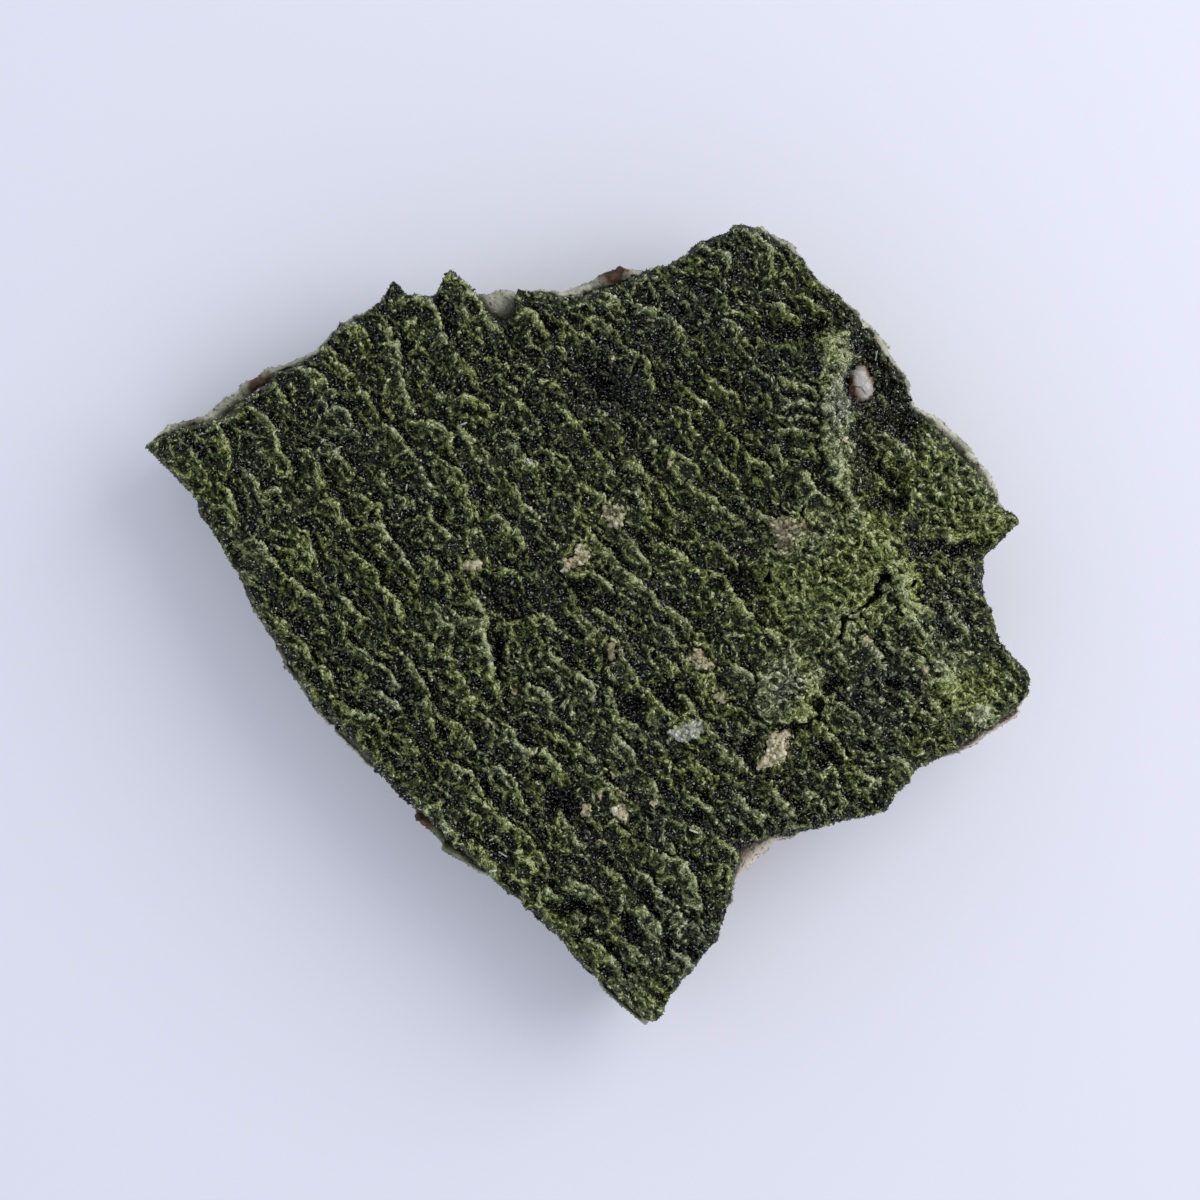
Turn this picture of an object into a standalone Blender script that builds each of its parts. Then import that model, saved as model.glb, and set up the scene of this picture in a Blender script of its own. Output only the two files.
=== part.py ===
"""Epidote cluster: a crust of green epidote crystals grown over a slab of pale host rock.

The origin is the middle of the footprint, on the flat broken face that the slab rests on.
Sizes are millimetres here and become metres when a mesh is made. +Z is up.
"""
import math

import bmesh
import bpy
import numpy as np
from mathutils import Vector
from mathutils.geometry import delaunay_2d_cdt

MM = 0.001
SEED = 23

# Driving dimensions, in millimetres.
EDGE_STEP = 3.2          # longest straight stretch of the broken edge
EDGE_ROUGHNESS = 0.25    # how far the points between two corners stray
FACE_HEIGHT = 24.0       # crust level over the thick right-hand side of the slab
FACE_FALL = 5.0          # how much lower the crust lies at the left tip
FOOT_FALL = 1.8          # how much lower it lies at the bottom tip
CRUST_THICKNESS = 6.0
CRUST_LEAST = 1.7        # crust left under the deepest pit
TOUCH_GAP = 0.3          # air between pieces that touch
OVERHANG = 0.8           # how far the crust reaches past the rock where no rock shows
RIM_SHOWS = 0.35         # rims narrower than this are covered by the crust
STEEP_SIDE = 0.95        # width of a blade's steep north-east side
BLADE_GAP = 2.9          # least distance from a small blade to another crest
CREST_SPACING = 2.2      # mesh points along a crest
FILL_SPACING = 1.85      # mesh points between the crests
UNDERSIDE_SPACING = 7.0

# Corners of the outline, clockwise from the left tip: x, y and the width of bare rock at the edge.
OUTLINE = (
    (-67.3, 27.2, 0.5), (-63.2, 30.4, 1.8), (-57.2, 32.0, 2.3), (-53.2, 35.0, 2.0), (-49.0, 38.2, 1.8),
    (-41.3, 41.5, 1.0), (-39.0, 44.2, 0.8), (-34.7, 47.2, 0.9), (-31.0, 48.5, 0.3), (-28.6, 51.5, 0.0),
    (-27.3, 49.3, 0.0), (-23.3, 50.0, 0.5), (-20.5, 53.2, 0.0), (-17.5, 50.8, 0.0), (-15.5, 50.0, 3.6),
    (-13.4, 50.0, 5.0), (-11.3, 50.0, 3.6), (-10.5, 50.5, 0.3), (-7.0, 50.2, 0.4), (-1.1, 50.8, 1.5),
    (2.9, 53.2, 2.8), (5.3, 53.6, 2.2), (7.4, 53.2, 0.9), (14.3, 54.7, 0.0), (16.5, 56.6, 0.0),
    (21.4, 58.4, 0.0), (22.0, 59.9, 0.0), (25.9, 60.2, 0.8), (32.3, 55.9, 0.6), (35.2, 52.0, 0.6),
    (40.7, 47.6, 0.9), (48.5, 36.8, 1.0), (49.7, 33.0, 0.9), (53.5, 30.7, 1.9), (60.5, 23.3, 2.0),
    (62.6, 18.0, 0.8), (64.9, 15.5, 0.2), (59.5, 10.3, 0.0), (59.3, 5.2, 0.0), (61.7, -2.3, 0.0),
    (65.8, -7.0, 0.3), (67.1, -10.2, 1.0), (64.9, -13.4, 2.0), (57.8, -18.2, 1.9), (54.2, -20.0, 1.0),
    (50.5, -22.4, 0.5), (45.1, -28.0, 0.2), (36.2, -29.9, 0.3), (32.0, -32.0, 0.6), (28.1, -32.8, 0.9),
    (26.6, -34.8, 3.0), (24.8, -36.8, 3.6), (23.2, -38.0, 1.2), (22.0, -42.0, 0.4), (20.6, -47.0, 0.2),
    (17.9, -50.0, 0.0), (16.4, -53.0, 0.0), (11.2, -59.6, 0.0), (9.2, -60.4, 0.6), (3.8, -56.0, 0.9),
    (-0.4, -51.5, 0.2), (-3.7, -47.3, 0.0), (-13.1, -38.9, 0.3), (-21.7, -33.8, 1.5), (-25.5, -30.0, 1.7),
    (-27.5, -26.2, 0.3), (-41.8, -12.5, 0.6), (-46.0, -5.6, 0.8), (-51.7, 4.1, 0.4), (-51.4, 6.2, 0.2),
    (-57.1, 14.8, 0.4), (-58.9, 16.6, 0.5), (-58.4, 18.8, 0.0), (-64.0, 24.4, 0.3),
)

# Broad forms that the rock follows too: centre x, y, two radii, turn in degrees, edge power, height.
BROAD_FORMS = (
    (4, 6, 30, 24, 0, 1.0, 2.5),         # swell in the middle of the face
    (37.5, 7.5, 13, 11.5, -30, 1.4, 7.5),  # hump
    (24, 50, 14, 9, -20, 1.4, 1.6),      # north-east corner block
)

# Forms of the crust alone, in the same terms.
CRUST_FORMS = (
    (34.9, 31.5, 2.9, 11.5, 2, 2.0, 6.5),    # upright rib above the hump
    (38.3, 42.3, 3.4, 2.6, -25, 1.6, 4.8),   # rounded knob at the rib's top
    (47.0, 8.6, 1.9, 9.5, 22, 1.5, 2.2),     # ridge along the hump's right side
    (30.2, -9.9, 5.6, 6.2, 0, 2.2, 5.0),     # lobe below the hump
    (56.5, 21.0, 9.0, 6.0, -35, 1.8, 2.2),   # right-hand terrace
    (50.5, -4.5, 5.5, 7.0, 25, 1.6, 1.8),    # block right of the lobe
    (-1.9, -38.9, 2.6, 2.2, -20, 1.2, 2.0),  # small mound near the bottom
    (43.2, 36.2, 4.2, 7.2, 30, 1.5, -5.2),   # hollow that holds the quartz
    (47.0, 30.2, 3.4, 3.2, 0, 1.5, -4.2),    # dark hollow beside it
    (44.6, 19.0, 2.8, 4.2, -20, 1.4, -3.4),  # bay between hump and terrace
    (31.5, 43.8, 4.8, 1.4, 10, 1.5, -3.6),   # trough above the rib
    (1.3, 35.8, 4.6, 3.6, -15, 1.6, -5.4),   # cave
    (7.0, 27.5, 1.8, 6.2, 33, 1.2, -3.0),    # run of the cave towards the hump
    (54.5, 11.4, 5.6, 1.3, 0, 1.4, -3.2),    # shelf edge under the terrace
    (60.0, 7.0, 3.4, 3.0, 0, 1.4, -2.6),     # slope down to the right-hand notch
)

# Pits: centre x, y, two radii, depth.
PITS = (
    (24.8, -18.8, 2.0, 1.7, 4.0), (35.3, -20.0, 2.4, 2.0, 4.2), (41.3, -18.1, 1.1, 0.9, 2.5),
    (47.9, -16.4, 1.1, 0.8, 2.2), (45.5, -9.2, 1.2, 0.9, 2.4), (-7.0, -23.2, 1.7, 0.9, 3.0),
    (-4.0, -26.8, 2.9, 2.6, 4.4), (-2.0, -42.7, 3.0, 1.4, 4.4), (12.5, -10.9, 3.0, 3.4, 4.0),
    (6.5, -12.7, 2.5, 2.0, 3.6), (16.0, -28.7, 1.8, 1.3, 3.0), (12.0, -47.9, 1.1, 2.1, 3.0),
    (7.0, -46.6, 1.3, 1.4, 3.0), (-13.4, -4.7, 1.1, 3.7, 3.6), (-12.2, 4.0, 3.6, 3.2, 3.6),
    (2.8, 3.2, 2.4, 1.4, 2.8), (23.0, 6.2, 4.4, 2.0, 3.2), (-3.2, 5.6, 5.0, 2.0, 3.2),
    (45.0, 17.9, 1.7, 1.7, 2.0),
)

# Cracks and channels: depth, half width, points.
CRACKS = (
    (4.6, 1.3, ((45.8, 8.5), (43.8, 5.5), (41.2, 2.5), (38.0, 0.5), (37.6, -1.5), (39.0, -3.0))),
    (4.4, 1.3, ((36.0, -6.5), (34.9, -11.5), (32.6, -15.5), (27.5, -16.0))),
    (5.0, 1.3, ((46.8, 10.5), (50.0, 6.5), (51.0, 2.0))),
    (3.0, 1.0, ((42.2, -9.5), (44.0, -12.0), (45.8, -14.5))),
    (3.2, 1.2, ((24.5, -5.5), (25.2, -10.0), (27.8, -15.0))),
)

# Main crystal blades: height, reach of the gentle side, crest from its upper left to its lower right end.
MAIN_BLADES = (
    (4.0, 5.5, (-51.5, 33), (-48.5, 30), (-46.5, 26), (-45, 22.5)),
    (3.0, 3.5, (-56, 30.5), (-54, 26.5), (-53.5, 23)),
    (3.2, 4.5, (-51, 22.5), (-48.5, 20), (-46.5, 19)),
    (3.6, 4.0, (-43, 39), (-40.5, 37), (-38.5, 33)),
    (3.0, 4.0, (-39.5, 32.5), (-36.5, 31), (-35, 27.5)),
    (3.2, 4.5, (-37.5, 45.5), (-34.5, 44), (-32.5, 41.5)),
    (3.0, 3.5, (-31, 46), (-29, 41), (-28.5, 37.5)),
    (3.6, 4.5, (-27, 48.5), (-24, 48), (-22.5, 44.5), (-21, 41.5)),
    (4.0, 5.5, (-20.5, 52), (-18, 48.5), (-16, 46), (-13.5, 43.5)),
    (2.8, 3.5, (-21, 41), (-19, 39), (-17, 36.5)),
    (3.0, 3.5, (-39.5, 27.5), (-37.5, 25), (-35, 22.5)),
    (2.8, 4.0, (-25.5, 30), (-22, 29), (-19.5, 26)),
    (3.0, 4.5, (-21, 34), (-16.5, 33), (-14, 30.5)),
    (3.0, 4.0, (-9, 38), (-6, 36), (-3.5, 33.5)),
    (3.4, 5.0, (-4.5, 37.5), (-1, 37), (1, 33.5)),
    (4.0, 4.5, (5.5, 41), (8.5, 37.5), (10, 33.5)),
    (3.8, 4.0, (2.5, 33), (6.5, 30), (9.5, 26.5)),
    (3.0, 4.5, (7.5, 47.5), (12, 45), (14.5, 42.5)),
    (3.2, 5.0, (-22, 24.5), (-19.5, 22), (-18, 18.5), (-16.5, 15.5)),
    (3.4, 4.5, (-33.5, 18.5), (-31.5, 16.5), (-30.5, 12.5), (-28, 9.5), (-26, 6)),
    (3.6, 5.0, (-35.5, 10.5), (-33, 8.5), (-31.5, 5.5), (-29, 3), (-27.5, 0)),
    (2.8, 4.5, (-24.5, 3), (-21.5, 1.5), (-20, -1.5)),
    (4.2, 5.5, (-17, 4), (-16, -1), (-15, -5.5), (-13, -10)),
    (3.4, 4.5, (-20.5, -3.5), (-20, -7), (-17, -11.5)),
    (3.6, 4.5, (-28, -4.5), (-26, -7.5), (-24.5, -11), (-23.5, -15.5)),
    (3.0, 4.0, (-35.5, -3), (-33, -5.5), (-28, -10)),
    (3.2, 4.0, (-35, -7.5), (-31.5, -11), (-27.5, -13.5)),
    (2.8, 3.5, (-38, -11.5), (-35.5, -13.5), (-31.5, -15)),
    (3.0, 4.0, (-9.5, 0.5), (-6, 1), (-4.5, -1.5)),
    (3.2, 5.0, (-5.5, -4), (-2.5, -7.5), (0, -9), (0, -12)),
    (3.4, 4.5, (0, 2), (3, 0.5), (5.5, -2.5)),
    (4.0, 5.0, (-12.5, -14.5), (-10.5, -18.5), (-7, -19.5), (-3, -24)),
    (3.0, 3.5, (-15, -21), (-11, -24), (-9.5, -26.5)),
    (3.0, 4.0, (-20, -21.5), (-17, -24), (-15.5, -26.5)),
    (2.8, 4.0, (-29, -16.5), (-26, -18.5), (-25, -21.5)),
    (3.4, 4.0, (-13.5, -29.5), (-10, -32), (-6.5, -35.5)),
    (3.0, 3.5, (9.5, -10.5), (11, -13), (13.5, -14.5)),
    (4.0, 5.5, (16.5, 8), (19.5, 6.5), (21, 4), (24.5, 0)),
    (3.2, 4.0, (10, 4), (12, 1.5), (16.5, -1.5)),
    (2.8, 4.0, (27.5, 26.5), (29.5, 23)),
    (3.0, 4.0, (19.5, 45.5), (23.5, 42), (25, 40.5)),
    (2.8, 4.0, (24, 58.5), (26.5, 56), (27.5, 54)),
    (3.0, 4.5, (16.5, 56.5), (19.5, 54.5), (21, 52.5)),
    (3.6, 4.5, (7.5, -33), (13, -35.5), (15.5, -38), (17, -43)),
    (3.0, 4.5, (-2, -38.5), (0.5, -40), (2, -42)),
    (3.0, 4.0, (41.5, -8.5), (43, -11.5), (46, -14.5)),
)

# Granular places without blades: centre x, y, two radii.
GRANULAR = ((36.5, 7, 11.5, 11), (35, 32, 4.5, 12), (30.2, -9.9, 6, 6.5), (56, 20, 10, 8), (57, -9, 6, 6))

# Crystals seated in the crust: name, centre x, y, length, width, height, turn in degrees, kind.
SEATED_CRYSTALS = (
    ("quartz_crystal", 41.0, 35.8, 5.6, 4.2, 5.0, 70, "quartz"),
    ("feldspar_crystal_large", 27.7, -18.8, 6.2, 3.6, 5.0, 54, "feldspar"),
    ("feldspar_crystal_hump", 29.5, 13.0, 4.6, 4.2, 3.6, 10, "feldspar"),
    ("feldspar_crystal_north", 4.3, 16.1, 3.8, 3.2, 3.2, 30, "feldspar"),
    ("feldspar_crystal_middle", -1.0, 9.7, 6.0, 3.2, 3.4, 22, "feldspar"),
    ("feldspar_crystal_west", -17.5, 8.9, 2.6, 2.2, 2.6, 0, "feldspar"),
    ("feldspar_crystal_east", 17.3, -5.3, 4.4, 2.8, 2.8, 10, "feldspar"),
    ("quartz_shard", 14.5, -16.1, 5.0, 2.4, 2.6, -8, "quartz"),
    ("feldspar_crystal_south", 4.9, -28.1, 2.8, 2.4, 2.8, 60, "feldspar"),
)
SEAT_LIFT = 1.7     # seat above the crust's low ground
SEAT_DEPTH = 0.32   # part of a crystal's height that is sunk in its seat
SEAT_MARGIN = 1.6   # width over which the crust rises to the seat

# The rock's broken side, from under the crust down: inset from the outline, its variation, height share.
ROCK_SIDE = ((0.6, 1.6, 0.72), (2.2, 3.8, 0.34), (3.6, 4.6, 0.07), (5.2, 5.4, 0.0))
ROCK_FACETS = 19

# Colours are linear RGB.
FINISHES = {
    "epidote": ((0.070, 0.100, 0.030, 1.0), 0.55),
    "host_rock": ((0.290, 0.300, 0.240, 1.0), 0.85),
    "quartz": ((0.560, 0.550, 0.540, 1.0), 0.25),
    "feldspar": ((0.480, 0.430, 0.340, 1.0), 0.45),
}


def remove_objects():
    """Empty the scene."""
    for old in list(bpy.data.objects):
        bpy.data.objects.remove(old)


def finish(kind, name):
    """Make a Principled material of one kind for one piece."""
    colour, roughness = FINISHES[kind]
    made = bpy.data.materials.new(f"{kind}_{name}")
    made.use_nodes = True
    shader = made.node_tree.nodes["Principled BSDF"]
    shader.inputs["Base Color"].default_value = colour
    shader.inputs["Roughness"].default_value = roughness
    made.diffuse_color = colour
    return made


def smooth_step(value):
    """Rise from 0 to 1 with level ends."""
    value = np.clip(value, 0.0, 1.0)
    return value * value * (3.0 - 2.0 * value)


def mound(points, form):
    """Height times exp(-(r^2)^power), r being the distance measured in the form's two radii."""
    x, y, along, across, turn, power, height = form
    angle = math.radians(turn)
    offset = points - (x, y)
    u = (offset[:, 0] * math.cos(angle) + offset[:, 1] * math.sin(angle)) / along
    v = (offset[:, 1] * math.cos(angle) - offset[:, 0] * math.sin(angle)) / across
    return height * np.exp(-((u * u + v * v) ** power))


def along_line(points, line):
    """Give the distance to a polyline, the side (left is +1) and the share of its length passed."""
    line = np.array(line, dtype=float)
    steps = np.diff(line, axis=0)
    lengths = np.hypot(steps[:, 0], steps[:, 1])
    passed = np.concatenate(([0.0], np.cumsum(lengths)))
    distance = np.full(len(points), np.inf)
    side = np.ones(len(points))
    share = np.zeros(len(points))
    for start, step, length, before in zip(line, steps, lengths, passed):
        offset = points - start
        t = np.clip(offset @ step / length ** 2, 0.0, 1.0)
        gap = offset - t[:, None] * step
        reach = np.hypot(gap[:, 0], gap[:, 1])
        nearer = reach < distance
        distance[nearer] = reach[nearer]
        turned = step[0] * offset[:, 1] - step[1] * offset[:, 0]
        side[nearer] = np.where(turned[nearer] > 0, 1.0, -1.0)
        share[nearer] = (before + t[nearer] * length) / passed[-1]
    return distance, side, share


def low_ground(points):
    """Level of the slab's face with the broad forms that crust and rock share."""
    x, y = points[:, 0], points[:, 1]
    level = FACE_HEIGHT - FACE_FALL * np.clip((20.0 - x) / 87.0, 0.0, 1.0)
    level -= FOOT_FALL * np.clip((-20.0 - y) / 40.0, 0.0, 1.0)
    for form in BROAD_FORMS:
        level += mound(points, form)
    return level


def granular_share(points):
    """1 inside the places without blades, 0 outside."""
    share = np.zeros(len(points))
    for x, y, along, across in GRANULAR:
        radius = np.hypot((points[:, 0] - x) / along, (points[:, 1] - y) / across)
        share = np.maximum(share, smooth_step((1.15 - radius) / 0.3))
    return share


def small_blades(ring):
    """Place seeded blades on a slanted lattice wherever no main crest is near."""
    random = np.random.default_rng(SEED)
    crests = [np.array(blade[2:], dtype=float) for blade in MAIN_BLADES]
    taken = np.concatenate(crests)
    placed = []
    for row in range(-17, 18):
        for column in range(-9, 10):
            along = (column + 0.5 * (row % 2)) * 8.6 + random.uniform(-1.6, 1.6)
            across = row * 4.3 + random.uniform(-0.9, 0.9)
            height, reach, length, bend = random.uniform((2.0, 3.0, 5.0, -0.9), (3.3, 4.6, 8.5, 0.9))
            slope = math.radians(-50)
            middle = np.array((
                along * math.cos(slope) - across * math.sin(slope),
                along * math.sin(slope) + across * math.cos(slope),
            ))
            here = middle[None, :]
            if not inside(here, ring * 0.95)[0] or granular_share(here)[0] > 0.2:
                continue
            if np.hypot(*(taken - middle).T).min() < BLADE_GAP:
                continue
            heading = math.radians(-46 - 9 * min(max(-middle[0] / 50, -1), 1) + random.uniform(-12, 12))
            ahead = np.array((math.cos(heading), math.sin(heading)))
            aside = np.array((-ahead[1], ahead[0]))
            crest = (middle - ahead * length / 2, middle + aside * bend, middle + ahead * length / 2)
            taken = np.concatenate((taken, crest))
            placed.append((height, reach, *[tuple(point) for point in crest]))
    return placed


def blade_height(points, blade):
    """Highest on the crest: gentle fall over the reach on the right, steep fall on the left of its run."""
    height, reach = blade[:2]
    distance, side, share = along_line(points, blade[2:])
    gentle = 1.0 - (distance / reach) ** 1.15
    steep = 1.0 - distance / STEEP_SIDE
    ends = 1.0 - 0.45 * np.abs(2.0 * share - 1.0) ** 3
    return height * ends * np.where(side > 0, steep, gentle)


def crust_top(points, blades):
    """Face of the crust: low ground, the blades as the highest of them all, less pits and cracks."""
    broad = low_ground(points)
    level = np.zeros(len(points))
    for form in CRUST_FORMS:
        level += mound(points, form)
    grown = np.zeros(len(points))
    for blade in blades:
        grown = np.maximum(grown, blade_height(points, blade))
    level += grown * (1.0 - 0.85 * granular_share(points))
    for x, y, along, across, depth in PITS:
        level -= mound(points, (x, y, along, across, 0, 1.5, depth))
    for depth, half_width, line in CRACKS:
        level -= depth * smooth_step(1.4 - along_line(points, line)[0] / half_width)
    for crystal in SEATED_CRYSTALS:
        _, x, y, length, width = crystal[:5]
        radius = np.hypot(points[:, 0] - x, points[:, 1] - y) - (length + width) / 4
        seat = seat_level(crystal) - low_ground(np.array([(x, y)]))[0]
        share = smooth_step(1.0 - radius / SEAT_MARGIN)
        level = level * (1.0 - share) + seat * share
    return np.maximum(broad + level, broad - CRUST_THICKNESS + CRUST_LEAST)


def seat_level(crystal):
    """Height of the crust where a crystal sits: above the low ground, or deep in the quartz's hollow."""
    here = np.array([crystal[1:3]])
    level = low_ground(here)[0]
    for form in CRUST_FORMS:
        level += 0.8 * mound(here, form)[0]
    return level + (0.4 if crystal[0] == "quartz_crystal" else SEAT_LIFT)


def edge_points():
    """Walk the outline in short steps, straying a little, and give points and rim widths."""
    random = np.random.default_rng(SEED + 1)
    points = []
    rims = []
    corners = np.array(OUTLINE)
    for corner, following in zip(corners, np.roll(corners, -1, axis=0)):
        count = max(1, round(math.dist(corner[:2], following[:2]) / EDGE_STEP))
        for step in range(count):
            x, y, rim = corner + (following - corner) * step / count
            stray = 0.0 if step == 0 else random.uniform(-EDGE_ROUGHNESS, EDGE_ROUGHNESS)
            scale = 1.0 + stray / math.hypot(x, y)
            points.append((x * scale, y * scale))
            rims.append(rim)
    return np.array(points), np.array(rims)


def inset(points, distance):
    """Move points straight towards the middle. The outline is seen whole from there, so rings never cross."""
    radius = np.hypot(points[:, 0], points[:, 1])
    return points * (1.0 - distance / radius)[:, None]


def inside(points, ring):
    """Even-odd test: count the ring's edges that a ray towards +X crosses."""
    x, y = points[:, 0][:, None], points[:, 1][:, None]
    start, end = ring, np.roll(ring, -1, axis=0)
    above = (start[:, 1] > y) != (end[:, 1] > y)
    rise = np.where(end[:, 1] == start[:, 1], 1.0, end[:, 1] - start[:, 1])
    crossing = start[:, 0] + (y - start[:, 1]) * (end[:, 0] - start[:, 0]) / rise
    return (above & (x < crossing)).sum(axis=1) % 2 == 1


def keep_apart(chosen, run, distance):
    """Add a run's points that keep a distance from all points before them. Give the run's edges too."""
    kept = []
    for candidate in run:
        gaps = chosen - candidate
        if np.min(gaps[:, 0] ** 2 + gaps[:, 1] ** 2) > distance ** 2:
            chosen = np.vstack((chosen, candidate))
            kept.append(len(chosen) - 1)
    return chosen, list(zip(kept[:-1], kept[1:]))


def lattice(spacing, seed):
    """Jittered triangular lattice over the whole footprint."""
    random = np.random.default_rng(seed)
    rows = np.arange(-62, 63, spacing * 0.87)
    columns = np.arange(-69, 70, spacing)
    x, y = np.meshgrid(columns, rows)
    x = x + 0.5 * spacing * (np.arange(len(rows)) % 2)[:, None]
    stray = random.uniform(-0.22, 0.22, (x.size, 2)) * spacing
    return np.column_stack((x.ravel(), y.ravel())) + stray


def fill(ring, inner, edges=()):
    """Triangulate a ring with inner points and edges. Give points, triangles and the ring's indices."""
    points = [Vector(point) for point in np.concatenate((ring, inner))]
    faces = [list(range(len(ring)))]
    placed, _, triangles, origins, _, _ = delaunay_2d_cdt(points, list(edges), faces, 1, 1e-4)
    index = {source: made for made, sources in enumerate(origins) for source in sources}
    return np.array([tuple(point) for point in placed]), triangles, [index[i] for i in range(len(ring))]


def strip(upper, lower):
    """Join two rings of equal count by triangles."""
    count = len(upper)
    faces = []
    for here in range(count):
        there = (here + 1) % count
        faces.append((upper[here], upper[there], lower[there]))
        faces.append((upper[here], lower[there], lower[here]))
    return faces


class Body:
    """Vertices and faces of one closed piece, in millimetres."""

    def __init__(self):
        self.vertices = []
        self.faces = []

    def add(self, points, heights):
        """Add vertices and give their indices."""
        first = len(self.vertices)
        self.vertices += [(x, y, z) for (x, y), z in zip(points, heights)]
        return list(range(first, len(self.vertices)))

    def sheet(self, ring, inner, level, edges=()):
        """Add a filled sheet whose height is level(points). Give its ring's indices."""
        points, triangles, edge = fill(ring, inner, edges)
        made = self.add(points, level(points))
        self.faces += [tuple(made[i] for i in triangle) for triangle in triangles]
        return [made[i] for i in edge]

    def make(self, name, kind):
        """Turn the body into an object with its faces pointing out."""
        mesh = bpy.data.meshes.new(name)
        mesh.from_pydata([Vector(vertex) * MM for vertex in self.vertices], [], self.faces)
        shell = bmesh.new()
        shell.from_mesh(mesh)
        bmesh.ops.recalc_face_normals(shell, faces=shell.faces)
        shell.to_mesh(mesh)
        shell.free()
        mesh.materials.append(finish(kind, name))
        piece = bpy.data.objects.new(name, mesh)
        bpy.context.scene.collection.objects.link(piece)
        return piece


def crust_points(ring, blades):
    """Mesh points of the crust's face: crests first, then the feet of their steep sides, then a fill.

    Crests and feet come with their edges, so that each blade keeps a sharp crest and a steep side.
    """
    crests = []
    feet = []
    for blade in blades:
        line = np.array(blade[2:], dtype=float)
        crest = [line[0]]
        foot = []
        for start, end in zip(line[:-1], line[1:]):
            count = max(1, round(math.dist(start, end) / CREST_SPACING))
            step = (end - start) / count
            aside = np.array((-step[1], step[0])) / math.hypot(*step)
            crest += [start + step * (k + 1) for k in range(count)]
            foot += [start + step * (k + 0.5) + aside * STEEP_SIDE for k in range(count)]
        crests.append(np.array(crest))
        feet.append(np.array(foot))
    room = inset(ring, 0.9)
    chosen = ring
    edges = []
    for runs, distance in ((crests, 0.9), (feet, 0.75)):
        for run in runs:
            chosen, made = keep_apart(chosen, run[inside(run, room)], distance)
            edges += made
    fill_points = lattice(FILL_SPACING, SEED + 2)
    chosen, _ = keep_apart(chosen, fill_points[inside(fill_points, room)], FILL_SPACING * 0.74)
    return chosen[len(ring):], edges


def coarse_points(ring):
    """Mesh points of the hidden faces between crust and rock."""
    candidates = lattice(UNDERSIDE_SPACING, SEED + 3)
    return candidates[inside(candidates, inset(ring, 2.5))]


def make_crust(edge, rims, blades):
    """Crust: its face, its outer wall and an underside that follows the rock."""
    body = Body()
    outer = inset(edge, np.where(rims > RIM_SHOWS, rims, 0.0))
    shared = inset(edge, np.maximum(rims, OVERHANG) + 1.6)
    inner, edges = crust_points(outer, blades)
    top = body.sheet(outer, inner, lambda points: crust_top(points, blades), edges)
    under_level = low_ground(shared) - CRUST_THICKNESS + TOUCH_GAP
    foot = body.add(inset(outer, 0.35), under_level + 0.5)
    under = body.sheet(
        shared, coarse_points(shared), lambda points: low_ground(points) - CRUST_THICKNESS + TOUCH_GAP
    )
    body.faces += strip(top, foot)
    body.faces += strip(foot, under)
    return body.make("epidote_crust", "epidote")


def facet_noise(count, seed):
    """Noise round the rock that runs straight between a few seeded values, as flat broken facets do."""
    random = np.random.default_rng(seed)
    values = random.uniform(-1, 1, ROCK_FACETS)
    places = np.arange(count) * ROCK_FACETS / count
    return np.interp(places, np.arange(ROCK_FACETS + 1), np.append(values, values[0]))


def make_rock(edge, rims):
    """Host rock: a top that carries the crust, a bare rim and broken sides that draw in to a flat base."""
    body = Body()
    shared = inset(edge, np.maximum(rims, OVERHANG) + 1.6)
    ring = body.sheet(
        shared, coarse_points(shared), lambda points: low_ground(points) - CRUST_THICKNESS
    )
    shoulder_level = low_ground(shared) - CRUST_THICKNESS - 0.4
    shoulder = inset(edge, np.where(rims > RIM_SHOWS, 0.0, OVERHANG))
    lower = body.add(shoulder, shoulder_level)
    body.faces += strip(ring, lower)
    for level, (distance, variation, share) in enumerate(ROCK_SIDE):
        upper = lower
        stray = facet_noise(len(edge), SEED + 10 + level)
        heights = shoulder_level * share * (1.0 + 0.18 * facet_noise(len(edge), SEED + 20 + level))
        lower = body.add(inset(edge, distance + OVERHANG + variation * (1.0 + stray) / 2), heights)
        body.faces += strip(upper, lower)
    base = np.array([body.vertices[i][:2] for i in lower])
    triangles = fill(base, np.empty((0, 2)))
    body.faces += [tuple(lower[triangles[2].index(i)] for i in triangle) for triangle in triangles[1]]
    return body.make("host_rock", "host_rock")


def crystal_hull(name, centre, radii, turn, kind, seed):
    """Crystal with flat faces: the hull of seeded points on an ellipsoid."""
    random = np.random.default_rng(seed)
    shell = bmesh.new()
    for index in range(16):
        rise = 1.0 - 2.0 * (index + 0.5) / 16
        angle = index * 2.4 + random.uniform(-0.35, 0.35)
        flat = math.sqrt(1.0 - rise * rise)
        direction = np.array((flat * math.cos(angle), flat * math.sin(angle), rise))
        x, y, z = direction * radii * random.uniform(0.86, 1.0)
        c, s = math.cos(math.radians(turn)), math.sin(math.radians(turn))
        shell.verts.new(Vector((centre[0] + x * c - y * s, centre[1] + x * s + y * c, centre[2] + z)) * MM)
    hull = bmesh.ops.convex_hull(shell, input=shell.verts)
    bmesh.ops.delete(shell, geom=list(set(hull["geom_interior"] + hull["geom_unused"])), context="VERTS")
    bmesh.ops.recalc_face_normals(shell, faces=shell.faces)
    mesh = bpy.data.meshes.new(name)
    shell.to_mesh(mesh)
    shell.free()
    mesh.materials.append(finish(kind, name))
    return bpy.data.objects.new(name, mesh)


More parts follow.
